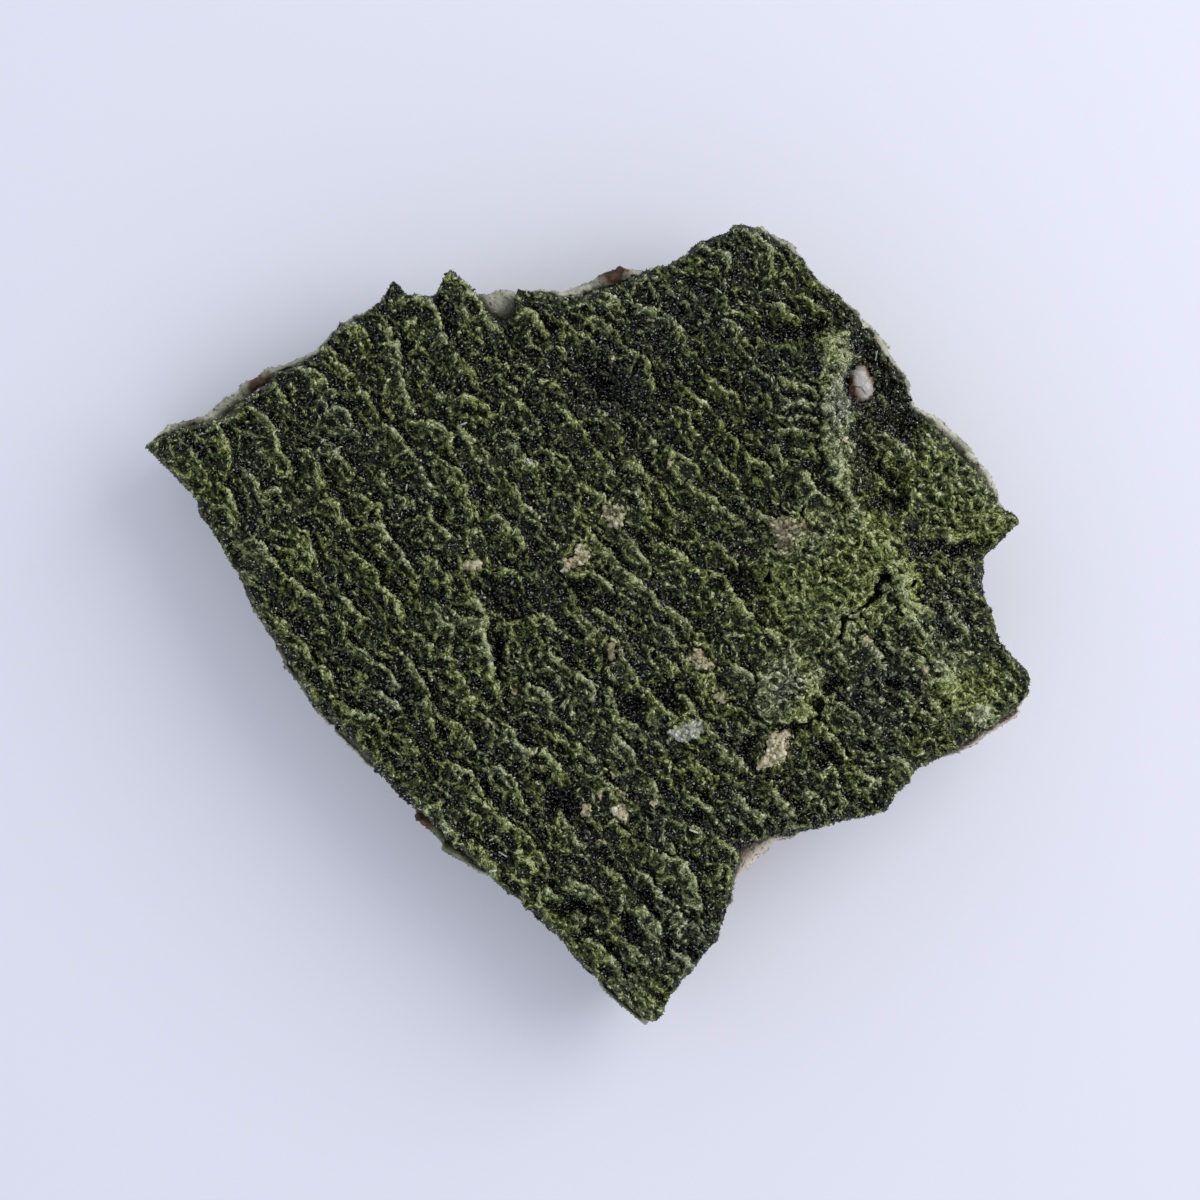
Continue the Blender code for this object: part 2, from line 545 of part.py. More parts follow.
def seat_crystals(crust):
    """Add every seated crystal and cut its pocket, a little larger than it is, in the crust."""
    cutters = bpy.data.collections.new("crystal_pockets")
    bpy.context.scene.collection.children.link(cutters)
    for index, crystal in enumerate(SEATED_CRYSTALS):
        name, x, y, length, width, height, turn, kind = crystal
        radii = np.array((length, width, height)) / 2
        centre = (x, y, seat_level(crystal) + height * (0.5 - SEAT_DEPTH))
        piece = crystal_hull(name, centre, radii, turn, kind, SEED + 40 + index)
        bpy.context.scene.collection.objects.link(piece)
        cutter = crystal_hull(f"{name}_pocket", centre, radii + TOUCH_GAP * 1.5, turn, kind, SEED + 40 + index)
        cutter.hide_render = True
        cutter.display_type = "WIRE"
        cutters.objects.link(cutter)
    pockets = crust.modifiers.new("crystal_pockets", "BOOLEAN")
    pockets.operation = "DIFFERENCE"
    pockets.operand_type = "COLLECTION"
    pockets.collection = cutters
    pockets.solver = "EXACT"


def build():
    """Make the whole cluster."""
    remove_objects()
    edge, rims = edge_points()
    blades = list(MAIN_BLADES) + small_blades(edge)
    make_rock(edge, rims)
    crust = make_crust(edge, rims, blades)
    seat_crystals(crust)


build()
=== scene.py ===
# %% [markdown]
# # An epidote cluster
#
# The real thing is a broken slab of pale, altered rock. Its upper face is grown over with thousands of
# small green epidote crystals that stand in overlapping blades, like fish scales. The blades' crests are
# light green, their steep north-east sides drop into pits of black-green, glossy crystals.
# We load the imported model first: it is the fixed frame, and nothing in it moves.

# %% Load the frame
import math

import bpy
import numpy as np
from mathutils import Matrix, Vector
from mathutils.bvhtree import BVHTree


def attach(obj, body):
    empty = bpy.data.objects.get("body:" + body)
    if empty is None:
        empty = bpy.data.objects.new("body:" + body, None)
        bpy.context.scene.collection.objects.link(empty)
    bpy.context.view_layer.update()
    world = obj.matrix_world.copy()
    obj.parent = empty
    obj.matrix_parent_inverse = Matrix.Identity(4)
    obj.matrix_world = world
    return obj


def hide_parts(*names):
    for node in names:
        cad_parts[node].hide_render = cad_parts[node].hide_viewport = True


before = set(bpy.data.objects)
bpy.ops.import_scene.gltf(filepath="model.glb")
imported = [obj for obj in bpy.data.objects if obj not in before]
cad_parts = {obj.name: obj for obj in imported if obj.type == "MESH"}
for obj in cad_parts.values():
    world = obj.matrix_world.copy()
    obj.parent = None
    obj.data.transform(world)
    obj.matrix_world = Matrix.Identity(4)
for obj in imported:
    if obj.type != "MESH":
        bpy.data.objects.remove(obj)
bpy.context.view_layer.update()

MM = 0.001
print("nodes", sorted(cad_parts))

# %% [markdown]
# ## Camera, light and floor
#
# The picture is taken straight down. A long lens keeps the slab's sides from showing, so the camera hangs
# three quarters of a metre above the crystal face, and 1200 pixels span 180 mm there. One large soft
# light comes in from the right and a pale sky fills the rest, so the shadow on the white floor is wide
# and falls to the left.

# %% Camera
PIXEL = 0.15 * MM                # one photo pixel at the height of the crust's edge
PHOTO_SIDE = 1200
PHOTO_MIDDLE = (586.5, 624.5)    # pixel over the middle of the footprint
EDGE_HEIGHT = 0.021
CAMERA_RISE = 0.75
SENSOR = 36.0

camera_data = bpy.data.cameras.new("camera")
camera_data.sensor_width = SENSOR
camera_data.lens = SENSOR * CAMERA_RISE / (PHOTO_SIDE * PIXEL)
camera_data.clip_start = 0.01
camera = bpy.data.objects.new("camera", camera_data)
camera.location = (
    (PHOTO_SIDE / 2 - PHOTO_MIDDLE[0]) * PIXEL,
    (PHOTO_MIDDLE[1] - PHOTO_SIDE / 2) * PIXEL,
    EDGE_HEIGHT + CAMERA_RISE,
)
bpy.context.scene.collection.objects.link(camera)
bpy.context.scene.camera = camera
bpy.context.scene.view_settings.view_transform = "Standard"
print("lens", round(camera_data.lens, 1), "mm")


# %% [markdown]
# Colours are written as sRGB hex codes, as read off a colour picker, and one function turns them into
# the linear values that the shaders add and multiply. One helper adds a shader node with its settings,
# its input values and its links, so that each material below reads as a list of steps.

# %% Colour and node helpers
def srgb(code):
    """Linear RGBA of a hex code: (c / 12.92) near black, else ((c + 0.055) / 1.055) to the power 2.4."""
    parts = np.array([int(code[i:i + 2], 16) for i in (1, 3, 5)]) / 255.0
    linear = np.where(parts <= 0.04045, parts / 12.92, ((parts + 0.055) / 1.055) ** 2.4)
    return (*[float(c) for c in linear], 1.0)


def add_node(tree, kind, values=(), links=(), **settings):
    """Add a node, set its properties and input values, and link sources into its inputs."""
    made = tree.nodes.new(kind)
    for name, value in settings.items():
        setattr(made, name, value)
    for name, value in dict(values).items():
        made.inputs[name].default_value = value
    for name, source in dict(links).items():
        tree.links.new(source, made.inputs[name])
    return made


def new_material(name):
    """Make an empty node material and give it with its tree and its output node."""
    made = bpy.data.materials.new(name)
    made.use_nodes = True
    made.node_tree.nodes.clear()
    output = made.node_tree.nodes.new("ShaderNodeOutputMaterial")
    return made, made.node_tree, output


def add_ramp(tree, source, stops):
    """Add a colour ramp with (place, hex colour) stops."""
    ramp = add_node(tree, "ShaderNodeValToRGB", links={"Fac": source})
    elements = ramp.color_ramp.elements
    while len(elements) < len(stops):
        elements.new(0.5)
    for element, (place, code) in zip(elements, stops):
        element.position = place
        element.color = srgb(code)
    return ramp


print("mid green", [round(c, 3) for c in srgb("#46502d")[:3]])

# %% Light and floor
KEY_PLACE = (0.48, 0.21, 0.5)
KEY_SIDE = 0.6
KEY_POWER = 2.65
KEY_COLOUR = "#fffaf4"
SKY = "#eef1fb"
SKY_STRENGTH = 0.83
FLOOR = "#e2e4f0"
FLOOR_SIDE = 6.0

key_data = bpy.data.lights.new("window_light", "AREA")
key_data.energy = KEY_POWER
key_data.size = KEY_SIDE
key_data.color = srgb(KEY_COLOUR)[:3]
key = bpy.data.objects.new("window_light", key_data)
key.location = KEY_PLACE
key.rotation_euler = (
    0.0,
    math.atan2(math.hypot(KEY_PLACE[0], KEY_PLACE[1]), KEY_PLACE[2]),
    math.atan2(KEY_PLACE[1], KEY_PLACE[0]),
)
bpy.context.scene.collection.objects.link(key)

world = bpy.data.worlds.new("soft_sky")
bpy.context.scene.world = world
world.use_nodes = True
world.node_tree.nodes["Background"].inputs["Color"].default_value = srgb(SKY)
world.node_tree.nodes["Background"].inputs["Strength"].default_value = SKY_STRENGTH

floor_mesh = bpy.data.meshes.new("floor")
floor_mesh.from_pydata([(x * FLOOR_SIDE / 2, y * FLOOR_SIDE / 2, 0.0) for x, y in
                        ((-1, -1), (1, -1), (1, 1), (-1, 1))], [], [(0, 1, 2, 3)])
floor = bpy.data.objects.new("floor", floor_mesh)
bpy.context.scene.collection.objects.link(floor)
floor_material, tree, output = new_material("white_card")
card = add_node(tree, "ShaderNodeBsdfPrincipled", {"Base Color": srgb(FLOOR), "Roughness": 0.9, "IOR": 1.3})
tree.links.new(card.outputs["BSDF"], output.inputs["Surface"])
floor_mesh.materials.append(floor_material)
print("light from the right, floor", FLOOR_SIDE, "m wide")

# %% [markdown]
# ## The specimen's plan
#
# These are the named values of the solid's source, in millimetres. A few follow the picture more closely
# here than the solid's coarse mesh can: the outline near the lower tip, the rib and two of the cracks.
# The outline goes clockwise from the left tip, and its third number is how much bare rock shows outside
# the crust there. Blades are listed as height, reach of the gentle side, and the crest's points.

# %% Sizes and places
SEED = 23
EDGE_STEP = 3.2          # the outline is walked in steps of this length
EDGE_ROUGHNESS = 0.25
FACE_HEIGHT = 24.0       # the slab's face at its right side
FACE_FALL = 5.0          # how much lower the face is at the left tip
FOOT_FALL = 1.8          # and at the lower tip
CRUST_THICKNESS = 6.0
CRUST_LEAST = 1.7
TOUCH_GAP = 0.3          # air between crust and rock
OVERHANG = 0.8
SHARED_INSET = 1.6       # crust and rock meet under the crust on a ring this far inside the rim
RIM_SHOWS = 0.35         # bare rims narrower than this stay under the crust
STEEP_SIDE = 0.95
BLADE_SLOPE = math.radians(-50)    # the blades' common run, from the upper left to the lower right
LATTICE = (8.6, 4.3)     # spacing of the small blades along that run and across it
BLADE_GAP = 2.9

OUTLINE = (
    (-67.3, 27.2, 0.5), (-63.2, 30.4, 1.8), (-57.2, 32.0, 2.3), (-53.2, 35.0, 2.0), (-49.0, 38.2, 1.8),
    (-41.3, 41.5, 1.0), (-39.0, 44.2, 0.8), (-34.7, 47.2, 0.9), (-31.0, 48.5, 0.3), (-28.6, 51.5, 0.0),
    (-27.3, 49.3, 0.0), (-23.3, 50.0, 0.5), (-20.5, 53.2, 0.0), (-17.5, 50.8, 0.0), (-15.5, 50.0, 3.6),
    (-13.4, 50.0, 5.0), (-11.3, 50.0, 3.6), (-10.5, 50.5, 0.3), (-7.0, 50.2, 0.4), (-1.1, 50.8, 1.5),
    (2.9, 53.2, 2.8), (5.3, 53.6, 2.2), (7.4, 53.2, 0.9), (14.3, 54.7, 0.0), (16.5, 56.6, 0.0),
    (21.4, 58.4, 0.0), (22.0, 59.9, 0.0), (25.9, 60.2, 0.8), (32.3, 55.9, 0.6), (35.2, 52.0, 0.6),
    (40.7, 47.6, 0.6), (48.5, 36.8, 0.7), (49.7, 33.0, 0.8), (53.5, 30.7, 1.7), (60.5, 23.3, 1.7),
    (62.6, 18.0, 0.8), (64.9, 15.5, 0.2), (59.5, 10.3, 0.0), (59.3, 5.2, 0.0), (61.7, -2.3, 0.0),
    (65.8, -7.0, 0.2), (67.1, -10.2, 0.5), (64.9, -13.4, 0.9), (57.8, -18.2, 1.0), (54.2, -20.0, 0.6),
    (49.8, -21.9, 0.5), (47.2, -24.3, 0.3), (44.5, -27.8, 0.2), (36.2, -29.9, 0.3), (32.0, -32.0, 0.6),
    (28.1, -32.8, 0.9), (26.6, -34.8, 2.6), (24.8, -36.8, 3.2), (23.2, -38.0, 1.2), (21.6, -42.0, 0.4),
    (19.4, -47.0, 0.2), (17.0, -50.0, 0.0), (14.5, -53.0, 0.0), (10.3, -59.4, 0.0), (9.0, -60.4, 0.6),
    (3.8, -56.0, 0.9), (-0.4, -51.5, 0.2), (-3.7, -47.3, 0.0), (-13.1, -38.9, 0.3), (-21.7, -33.8, 1.5),
    (-25.5, -30.0, 1.7), (-27.5, -26.2, 0.3), (-41.8, -12.5, 0.6), (-46.0, -5.6, 0.8), (-51.7, 4.1, 0.4),
    (-51.4, 6.2, 0.2), (-57.1, 14.8, 0.4), (-58.9, 16.6, 0.5), (-58.4, 18.8, 0.0), (-64.0, 24.4, 0.3),
)

# Centre x, y, two radii, turn in degrees, edge power, height.
BROAD_FORMS = (
    (4, 6, 30, 24, 0, 1.0, 2.5),         # swell in the middle of the face
    (37.5, 7.5, 13, 11.5, -30, 1.4, 7.5),  # hump
    (24, 50, 14, 9, -20, 1.4, 1.6),      # north-east corner block
)
CRUST_FORMS = (
    (37.4, 30.6, 2.8, 10.6, 3, 1.8, 5.8),    # upright rib above the hump
    (37.6, 40.6, 3.2, 2.5, -25, 1.6, 4.6),   # rounded knob at the rib's top
    (47.0, 8.6, 1.9, 9.5, 22, 1.5, 2.2),     # ridge along the hump's right side
    (30.2, -9.9, 5.6, 6.2, 0, 2.2, 5.0),     # lobe below the hump
    (56.5, 21.0, 9.0, 6.0, -35, 1.8, 2.2),   # right-hand terrace
    (50.5, -4.5, 5.5, 7.0, 25, 1.6, 1.8),    # block right of the lobe
    (-1.9, -38.9, 2.6, 2.2, -20, 1.2, 2.0),  # small mound near the bottom
    (43.2, 36.2, 4.2, 7.2, 30, 1.5, -5.2),   # hollow that holds the quartz
    (47.0, 30.2, 3.4, 3.2, 0, 1.5, -4.2),    # dark hollow beside it
    (44.6, 19.0, 2.8, 4.2, -20, 1.4, -3.4),  # bay between hump and terrace
    (31.5, 43.8, 4.8, 1.4, 10, 1.5, -3.6),   # trough above the rib
    (1.3, 35.8, 4.6, 3.6, -15, 1.6, -5.4),   # cave
    (7.0, 27.5, 1.8, 6.2, 33, 1.2, -3.0),    # run of the cave towards the hump
    (54.5, 11.4, 5.6, 1.3, 0, 1.4, -3.2),    # shelf edge under the terrace
    (60.0, 7.0, 3.4, 3.0, 0, 1.4, -2.6),     # slope down to the right-hand notch
)

# Centre x, y, two radii, depth.
PITS = (
    (24.8, -18.8, 2.0, 1.7, 4.0), (35.3, -20.0, 2.4, 2.0, 4.2), (41.3, -18.1, 1.1, 0.9, 2.5),
    (47.9, -16.4, 1.1, 0.8, 2.2), (45.5, -9.2, 1.2, 0.9, 2.4), (-7.0, -23.2, 1.7, 0.9, 3.0),
    (-4.0, -26.8, 2.9, 2.6, 4.4), (-2.0, -42.7, 3.0, 1.4, 4.4), (12.5, -10.9, 3.0, 3.4, 4.0),
    (6.5, -12.7, 2.5, 2.0, 3.6), (16.0, -28.7, 1.8, 1.3, 3.0), (12.0, -47.9, 1.1, 2.1, 3.0),
    (7.0, -46.6, 1.3, 1.4, 3.0), (-13.4, -4.7, 1.1, 3.7, 3.6), (-12.2, 4.0, 3.6, 3.2, 3.6),
    (2.8, 3.2, 2.4, 1.4, 2.8), (23.0, 6.2, 4.4, 2.0, 3.2), (-3.2, 5.6, 5.0, 2.0, 3.2),
    (45.0, 17.9, 1.7, 1.7, 2.0),
)

# Depth, half width, points.
CRACKS = (
    (4.6, 1.3, ((44.6, 8.0), (43.2, 6.6), (43.2, 4.6), (41.0, 2.0), (39.4, 1.3), (37.7, 0.6), (37.2, -1.8))),
    (4.4, 1.3, ((35.4, -7.0), (36.6, -9.2), (34.6, -11.8), (33.8, -14.6), (31.5, -15.6), (28.5, -15.8))),
    (5.0, 1.3, ((46.8, 10.5), (50.0, 6.5), (51.0, 2.0))),
    (3.0, 1.0, ((42.2, -9.5), (44.0, -12.0), (45.8, -14.5))),
    (3.2, 1.2, ((24.5, -5.5), (25.2, -10.0), (27.8, -15.0))),
)

# Height, reach of the gentle side, crest from its upper left to its lower right end.
MAIN_BLADES = (
    (4.0, 5.5, (-51.5, 33), (-48.5, 30), (-46.5, 26), (-45, 22.5)),
    (3.0, 3.5, (-56, 30.5), (-54, 26.5), (-53.5, 23)),
    (3.2, 4.5, (-51, 22.5), (-48.5, 20), (-46.5, 19)),
    (3.6, 4.0, (-43, 39), (-40.5, 37), (-38.5, 33)),
    (3.0, 4.0, (-39.5, 32.5), (-36.5, 31), (-35, 27.5)),
    (3.2, 4.5, (-37.5, 45.5), (-34.5, 44), (-32.5, 41.5)),
    (3.0, 3.5, (-31, 46), (-29, 41), (-28.5, 37.5)),
    (3.6, 4.5, (-27, 48.5), (-24, 48), (-22.5, 44.5), (-21, 41.5)),
    (4.0, 5.5, (-20.5, 52), (-18, 48.5), (-16, 46), (-13.5, 43.5)),
    (2.8, 3.5, (-21, 41), (-19, 39), (-17, 36.5)),
    (3.0, 3.5, (-39.5, 27.5), (-37.5, 25), (-35, 22.5)),
    (2.8, 4.0, (-25.5, 30), (-22, 29), (-19.5, 26)),
    (3.0, 4.5, (-21, 34), (-16.5, 33), (-14, 30.5)),
    (3.0, 4.0, (-9, 38), (-6, 36), (-3.5, 33.5)),
    (3.4, 5.0, (-4.5, 37.5), (-1, 37), (1, 33.5)),
    (4.0, 4.5, (5.5, 41), (8.5, 37.5), (10, 33.5)),
    (3.8, 4.0, (2.5, 33), (6.5, 30), (9.5, 26.5)),
    (3.0, 4.5, (7.5, 47.5), (12, 45), (14.5, 42.5)),
    (3.2, 5.0, (-22, 24.5), (-19.5, 22), (-18, 18.5), (-16.5, 15.5)),
    (3.4, 4.5, (-33.5, 18.5), (-31.5, 16.5), (-30.5, 12.5), (-28, 9.5), (-26, 6)),
    (3.6, 5.0, (-35.5, 10.5), (-33, 8.5), (-31.5, 5.5), (-29, 3), (-27.5, 0)),
    (2.8, 4.5, (-24.5, 3), (-21.5, 1.5), (-20, -1.5)),
    (4.2, 5.5, (-17, 4), (-16, -1), (-15, -5.5), (-13, -10)),
    (3.4, 4.5, (-20.5, -3.5), (-20, -7), (-17, -11.5)),
    (3.6, 4.5, (-28, -4.5), (-26, -7.5), (-24.5, -11), (-23.5, -15.5)),
    (3.0, 4.0, (-35.5, -3), (-33, -5.5), (-28, -10)),
    (3.2, 4.0, (-35, -7.5), (-31.5, -11), (-27.5, -13.5)),
    (2.8, 3.5, (-38, -11.5), (-35.5, -13.5), (-31.5, -15)),
    (3.0, 4.0, (-9.5, 0.5), (-6, 1), (-4.5, -1.5)),
    (3.2, 5.0, (-5.5, -4), (-2.5, -7.5), (0, -9), (0, -12)),
    (3.4, 4.5, (0, 2), (3, 0.5), (5.5, -2.5)),
    (4.0, 5.0, (-12.5, -14.5), (-10.5, -18.5), (-7, -19.5), (-3, -24)),
    (3.0, 3.5, (-15, -21), (-11, -24), (-9.5, -26.5)),
    (3.0, 4.0, (-20, -21.5), (-17, -24), (-15.5, -26.5)),
    (2.8, 4.0, (-29, -16.5), (-26, -18.5), (-25, -21.5)),
    (3.4, 4.0, (-13.5, -29.5), (-10, -32), (-6.5, -35.5)),
    (3.0, 3.5, (9.5, -10.5), (11, -13), (13.5, -14.5)),
    (4.0, 5.5, (16.5, 8), (19.5, 6.5), (21, 4), (24.5, 0)),
    (3.2, 4.0, (10, 4), (12, 1.5), (16.5, -1.5)),
    (2.8, 4.0, (27.5, 26.5), (29.5, 23)),
    (3.0, 4.0, (19.5, 45.5), (23.5, 42), (25, 40.5)),
    (2.8, 4.0, (24, 58.5), (26.5, 56), (27.5, 54)),
    (3.0, 4.5, (16.5, 56.5), (19.5, 54.5), (21, 52.5)),
    (3.6, 4.5, (7.5, -33), (13, -35.5), (15.5, -38), (17, -43)),
    (3.0, 4.5, (-2, -38.5), (0.5, -40), (2, -42)),
    (3.0, 4.0, (41.5, -8.5), (43, -11.5), (46, -14.5)),
)

# Nearly level rows of crystals left of the rib, too thin for the solid.
ROW_BLADES = (
    (2.6, 2.6, (24.0, 37.6), (28.0, 36.2), (33.5, 34.4)),
    (2.4, 2.4, (26.5, 33.4), (30.5, 32.6), (34.8, 32.2)),
    (2.4, 2.4, (27.0, 30.6), (31.0, 30.2), (34.8, 30.0)),
    (2.6, 2.6, (25.0, 28.4), (30.0, 28.2), (35.0, 27.4)),
    (2.4, 2.4, (29.0, 25.8), (32.5, 25.4), (35.4, 24.8)),
)
# Places without blades, where the crystals stand as granular lumps: centre x, y, two radii.
GRANULAR = ((36.5, 7, 11.5, 11), (37.5, 32, 3.6, 12), (30.2, -9.9, 6, 6.5), (56, 20, 10, 8), (57, -9, 6, 6),
            (8.5, -55.5, 6.5, 4.5))
SEAT_LIFT = 1.7
SEAT_MARGIN = 1.6
ROCK_SIDE = ((0.6, 1.6, 0.72), (2.2, 3.8, 0.34), (3.6, 4.6, 0.07), (5.2, 5.4, 0.0))
ROCK_FACETS = 19
print(len(OUTLINE), "outline corners,", len(MAIN_BLADES), "main blades,", len(PITS), "pits")


# %% [markdown]
# ## Noise made of numbers
#
# Two kinds of seeded noise are enough for a mineral. Smooth noise wanders softly between random values
# on a lattice. Cell noise scatters one point in each cell and tells how far the nearest one is, which
# gives rounded lumps and flat broken chips.

# %% Noise functions
TABLE = np.random.default_rng(SEED).random((4096, 4))


def smooth_step(value):
    """3 v^2 - 2 v^3 between 0 and 1: a rise with level ends."""
    value = np.clip(value, 0.0, 1.0)
    return value * value * (3.0 - 2.0 * value)


def cell_values(cell, seed):
    """Four repeatable random numbers for whole cell numbers: a place in a table, mixed from all three."""
    mixed = cell[..., 0] * 73856093 ^ cell[..., 1] * 19349663 ^ cell[..., 2] * 83492791 ^ seed * 6542989
    return TABLE[(mixed ^ mixed >> 13) % len(TABLE)]


def smooth_noise(points, size, seed):
    """Blend the lattice values round each point by smooth steps. The result is -1 to 1."""
    place = points / size
    cell = np.floor(place).astype(int)
    share = smooth_step(place - cell)
    total = np.zeros(place.shape[:-1])
    for corner in np.ndindex(2, 2, 2):
        weight = np.prod(np.where(corner, share, 1.0 - share), axis=-1)
        if weight.any():
            total += weight * cell_values(cell + corner, seed)[..., 0]
    return 2.0 * total - 1.0


def cell_noise(points, size, seed):
    """Distances to the two nearest scattered points, over the size, the nearest and its random numbers."""
    place = points / size
    cell = np.floor(place).astype(int)
    best = np.full(place.shape[:-1], np.inf)
    second = best.copy()
    nearest = np.zeros(place.shape)
    values = np.zeros((*place.shape[:-1], 4))
    flat = np.ptp(points[..., 2]) == 0.0
    for step in np.ndindex(3, 3, 1 if flat else 3):
        at = cell + step - (1, 1, 0 if flat else 1)
        random = cell_values(at, seed)
        point = at + random[..., :3]
        if flat:
            point[..., 2] = place[..., 2]
        distance = np.linalg.norm(place - point, axis=-1)
        nearer = distance < best
        second = np.where(nearer, best, np.minimum(second, distance))
        best = np.where(nearer, distance, best)
        nearest[nearer] = point[nearer]
        values[nearer] = random[nearer]
    return best, second, nearest * size, values


def cell_walls(points, size, thickness, seed):
    """Thin walls where cells meet: 1 - smooth step((second - first distance) / thickness)."""
    best, second = cell_noise(points, size, seed)[:2]
    return 1.0 - smooth_step((second - best) / thickness)


def flat_points(x, y):
    """Points of a plan, with z = 0."""
    return np.stack((x, y, np.zeros_like(x)), axis=-1)


print("noise at one point", np.round(smooth_noise(np.array([0.3, 0.4, 0.0]), 1.0, 1), 3))

# %% [markdown]
# ## The shape of the crust
#
# The crust could be sculpted, or displaced by a texture, but neither would follow the solid. We add up
# the same forms as the solid has, on a square raster of heights: the slab's level, broad swells, blades,
# pits, cracks and seats. The raster is finer than the solid's mesh, so we bend the blades with a little
# noise, sharpen their lips and grow rows of smaller blades on their backs.

# %% Raster and forms
RASTER = 0.2
x_line = np.arange(-70.0, 70.0, RASTER)
y_line = np.arange(-63.0, 63.0, RASTER)
plan_x, plan_y = np.meshgrid(x_line, y_line)
plan = flat_points(plan_x, plan_y)


def mound(x, y, form):
    """Height times exp(-(r^2)^power), r being the distance measured in the form's two radii."""
    middle_x, middle_y, along, across, turn, power, height = form
    angle = math.radians(turn)
    u = ((x - middle_x) * math.cos(angle) + (y - middle_y) * math.sin(angle)) / along
    v = ((y - middle_y) * math.cos(angle) - (x - middle_x) * math.sin(angle)) / across
    return height * np.exp(-((u * u + v * v) ** power))


def low_ground(x, y):
    """Level of the slab's face with the broad forms that crust and rock share."""
    level = FACE_HEIGHT - FACE_FALL * np.clip((20.0 - x) / 87.0, 0.0, 1.0)
    level = level - FOOT_FALL * np.clip((-20.0 - y) / 40.0, 0.0, 1.0)
    for form in BROAD_FORMS:
        level = level + mound(x, y, form)
    return level


def granular_share(x, y):
    """1 inside the places without blades, 0 outside."""
    share = np.zeros_like(x, dtype=float)
    for middle_x, middle_y, along, across in GRANULAR:
        radius = np.hypot((x - middle_x) / along, (y - middle_y) / across)
        share = np.maximum(share, smooth_step((1.15 - radius) / 0.3))
    return share


def along_line(x, y, line):
    """Give the distance to a polyline, the side (left is +1) and the share of its length passed."""
    line = np.array(line, dtype=float)
    steps = np.diff(line, axis=0)
    lengths = np.hypot(*steps.T)
    passed = np.concatenate(([0.0], np.cumsum(lengths)))
    distance = np.full(x.shape, np.inf)
    side = np.ones(x.shape)
    share = np.zeros(x.shape)
    for start, step, length, before in zip(line, steps, lengths, passed):
        across_x, across_y = x - start[0], y - start[1]
        t = np.clip((across_x * step[0] + across_y * step[1]) / length ** 2, 0.0, 1.0)
        reach = np.hypot(across_x - t * step[0], across_y - t * step[1])
        nearer = reach < distance
        distance = np.where(nearer, reach, distance)
        side = np.where(nearer, np.where(step[0] * across_y > step[1] * across_x, 1.0, -1.0), side)
        share = np.where(nearer, (before + t * length) / passed[-1], share)
    return distance, side, share


print("raster", plan_x.shape, "low ground", np.round([low_ground(-60.0, 20.0), low_ground(37.5, 7.5)], 1))

# %% Outline
def edge_points():
    """Walk the outline in short steps, straying a little, and give points and rim widths."""
    random = np.random.default_rng(SEED + 1)
    points = []
    rims = []
    corners = np.array(OUTLINE)
    for corner, following in zip(corners, np.roll(corners, -1, axis=0)):
        count = max(1, round(math.dist(corner[:2], following[:2]) / EDGE_STEP))
        for step in range(count):
            x, y, rim = corner + (following - corner) * step / count
            stray = 0.0 if step == 0 else random.uniform(-EDGE_ROUGHNESS, EDGE_ROUGHNESS)
            scale = 1.0 + stray / math.hypot(x, y)
            points.append((x * scale, y * scale))
            rims.append(rim)
    return np.array(points), np.array(rims)


def radius_round(points, inset, angles, finer=12):
    """Distance from the middle to a ring, drawn in by inset, at the given angles."""
    share = np.arange(finer) / finer

    def mix(values):
        """Values between each point's and the next one's."""
        return (values[:, None] * (1 - share) + np.roll(values, -1)[:, None] * share).ravel()

    scale = 1.0 - inset / np.hypot(*points.T)
    x, y = mix(points[:, 0] * scale), mix(points[:, 1] * scale)
    around = np.arctan2(y, x)
    order = np.argsort(around)
    return np.interp(angles, around[order], np.hypot(x, y)[order], period=2 * math.pi)


edge, rims = edge_points()
crust_rims = np.where(rims > RIM_SHOWS, rims + 0.4, 0.0)
plan_angle = np.arctan2(plan_y, plan_x)
to_edge = radius_round(edge, crust_rims, plan_angle) - np.hypot(plan_x, plan_y)
print(len(edge), "edge points; crust covers", round(float((to_edge > 0).sum()) * RASTER ** 2), "mm2")


# %% Small blades
def small_blades():
    """Place seeded blades on a slanted lattice wherever no main crest is near."""
    random = np.random.default_rng(SEED)
    taken = np.concatenate([np.array(blade[2:], dtype=float) for blade in MAIN_BLADES])
    placed = []
    for row in range(-17, 18):
        for column in range(-9, 10):
            along = (column + 0.5 * (row % 2)) * LATTICE[0] + random.uniform(-1.6, 1.6)
            across = row * LATTICE[1] + random.uniform(-0.9, 0.9)
            height, reach, length, bend = random.uniform((2.0, 3.0, 5.0, -0.9), (3.3, 4.6, 8.5, 0.9))
            middle = np.array((
                along * math.cos(BLADE_SLOPE) - across * math.sin(BLADE_SLOPE),
                along * math.sin(BLADE_SLOPE) + across * math.cos(BLADE_SLOPE),
            ))
            if math.hypot(*middle) > 0.95 * radius_round(edge, 0.0, math.atan2(middle[1], middle[0])):
                continue
            if granular_share(*middle) > 0.2 or np.hypot(*(taken - middle).T).min() < BLADE_GAP:
                continue
            heading = math.radians(-46 - 9 * min(max(-middle[0] / 50, -1), 1) + random.uniform(-12, 12))
            ahead = np.array((math.cos(heading), math.sin(heading)))
            aside = np.array((-ahead[1], ahead[0]))
            crest = (middle - ahead * length / 2, middle + aside * bend, middle + ahead * length / 2)
            taken = np.concatenate((taken, crest))
            placed.append((height, reach, *[tuple(point) for point in crest]))
    return placed


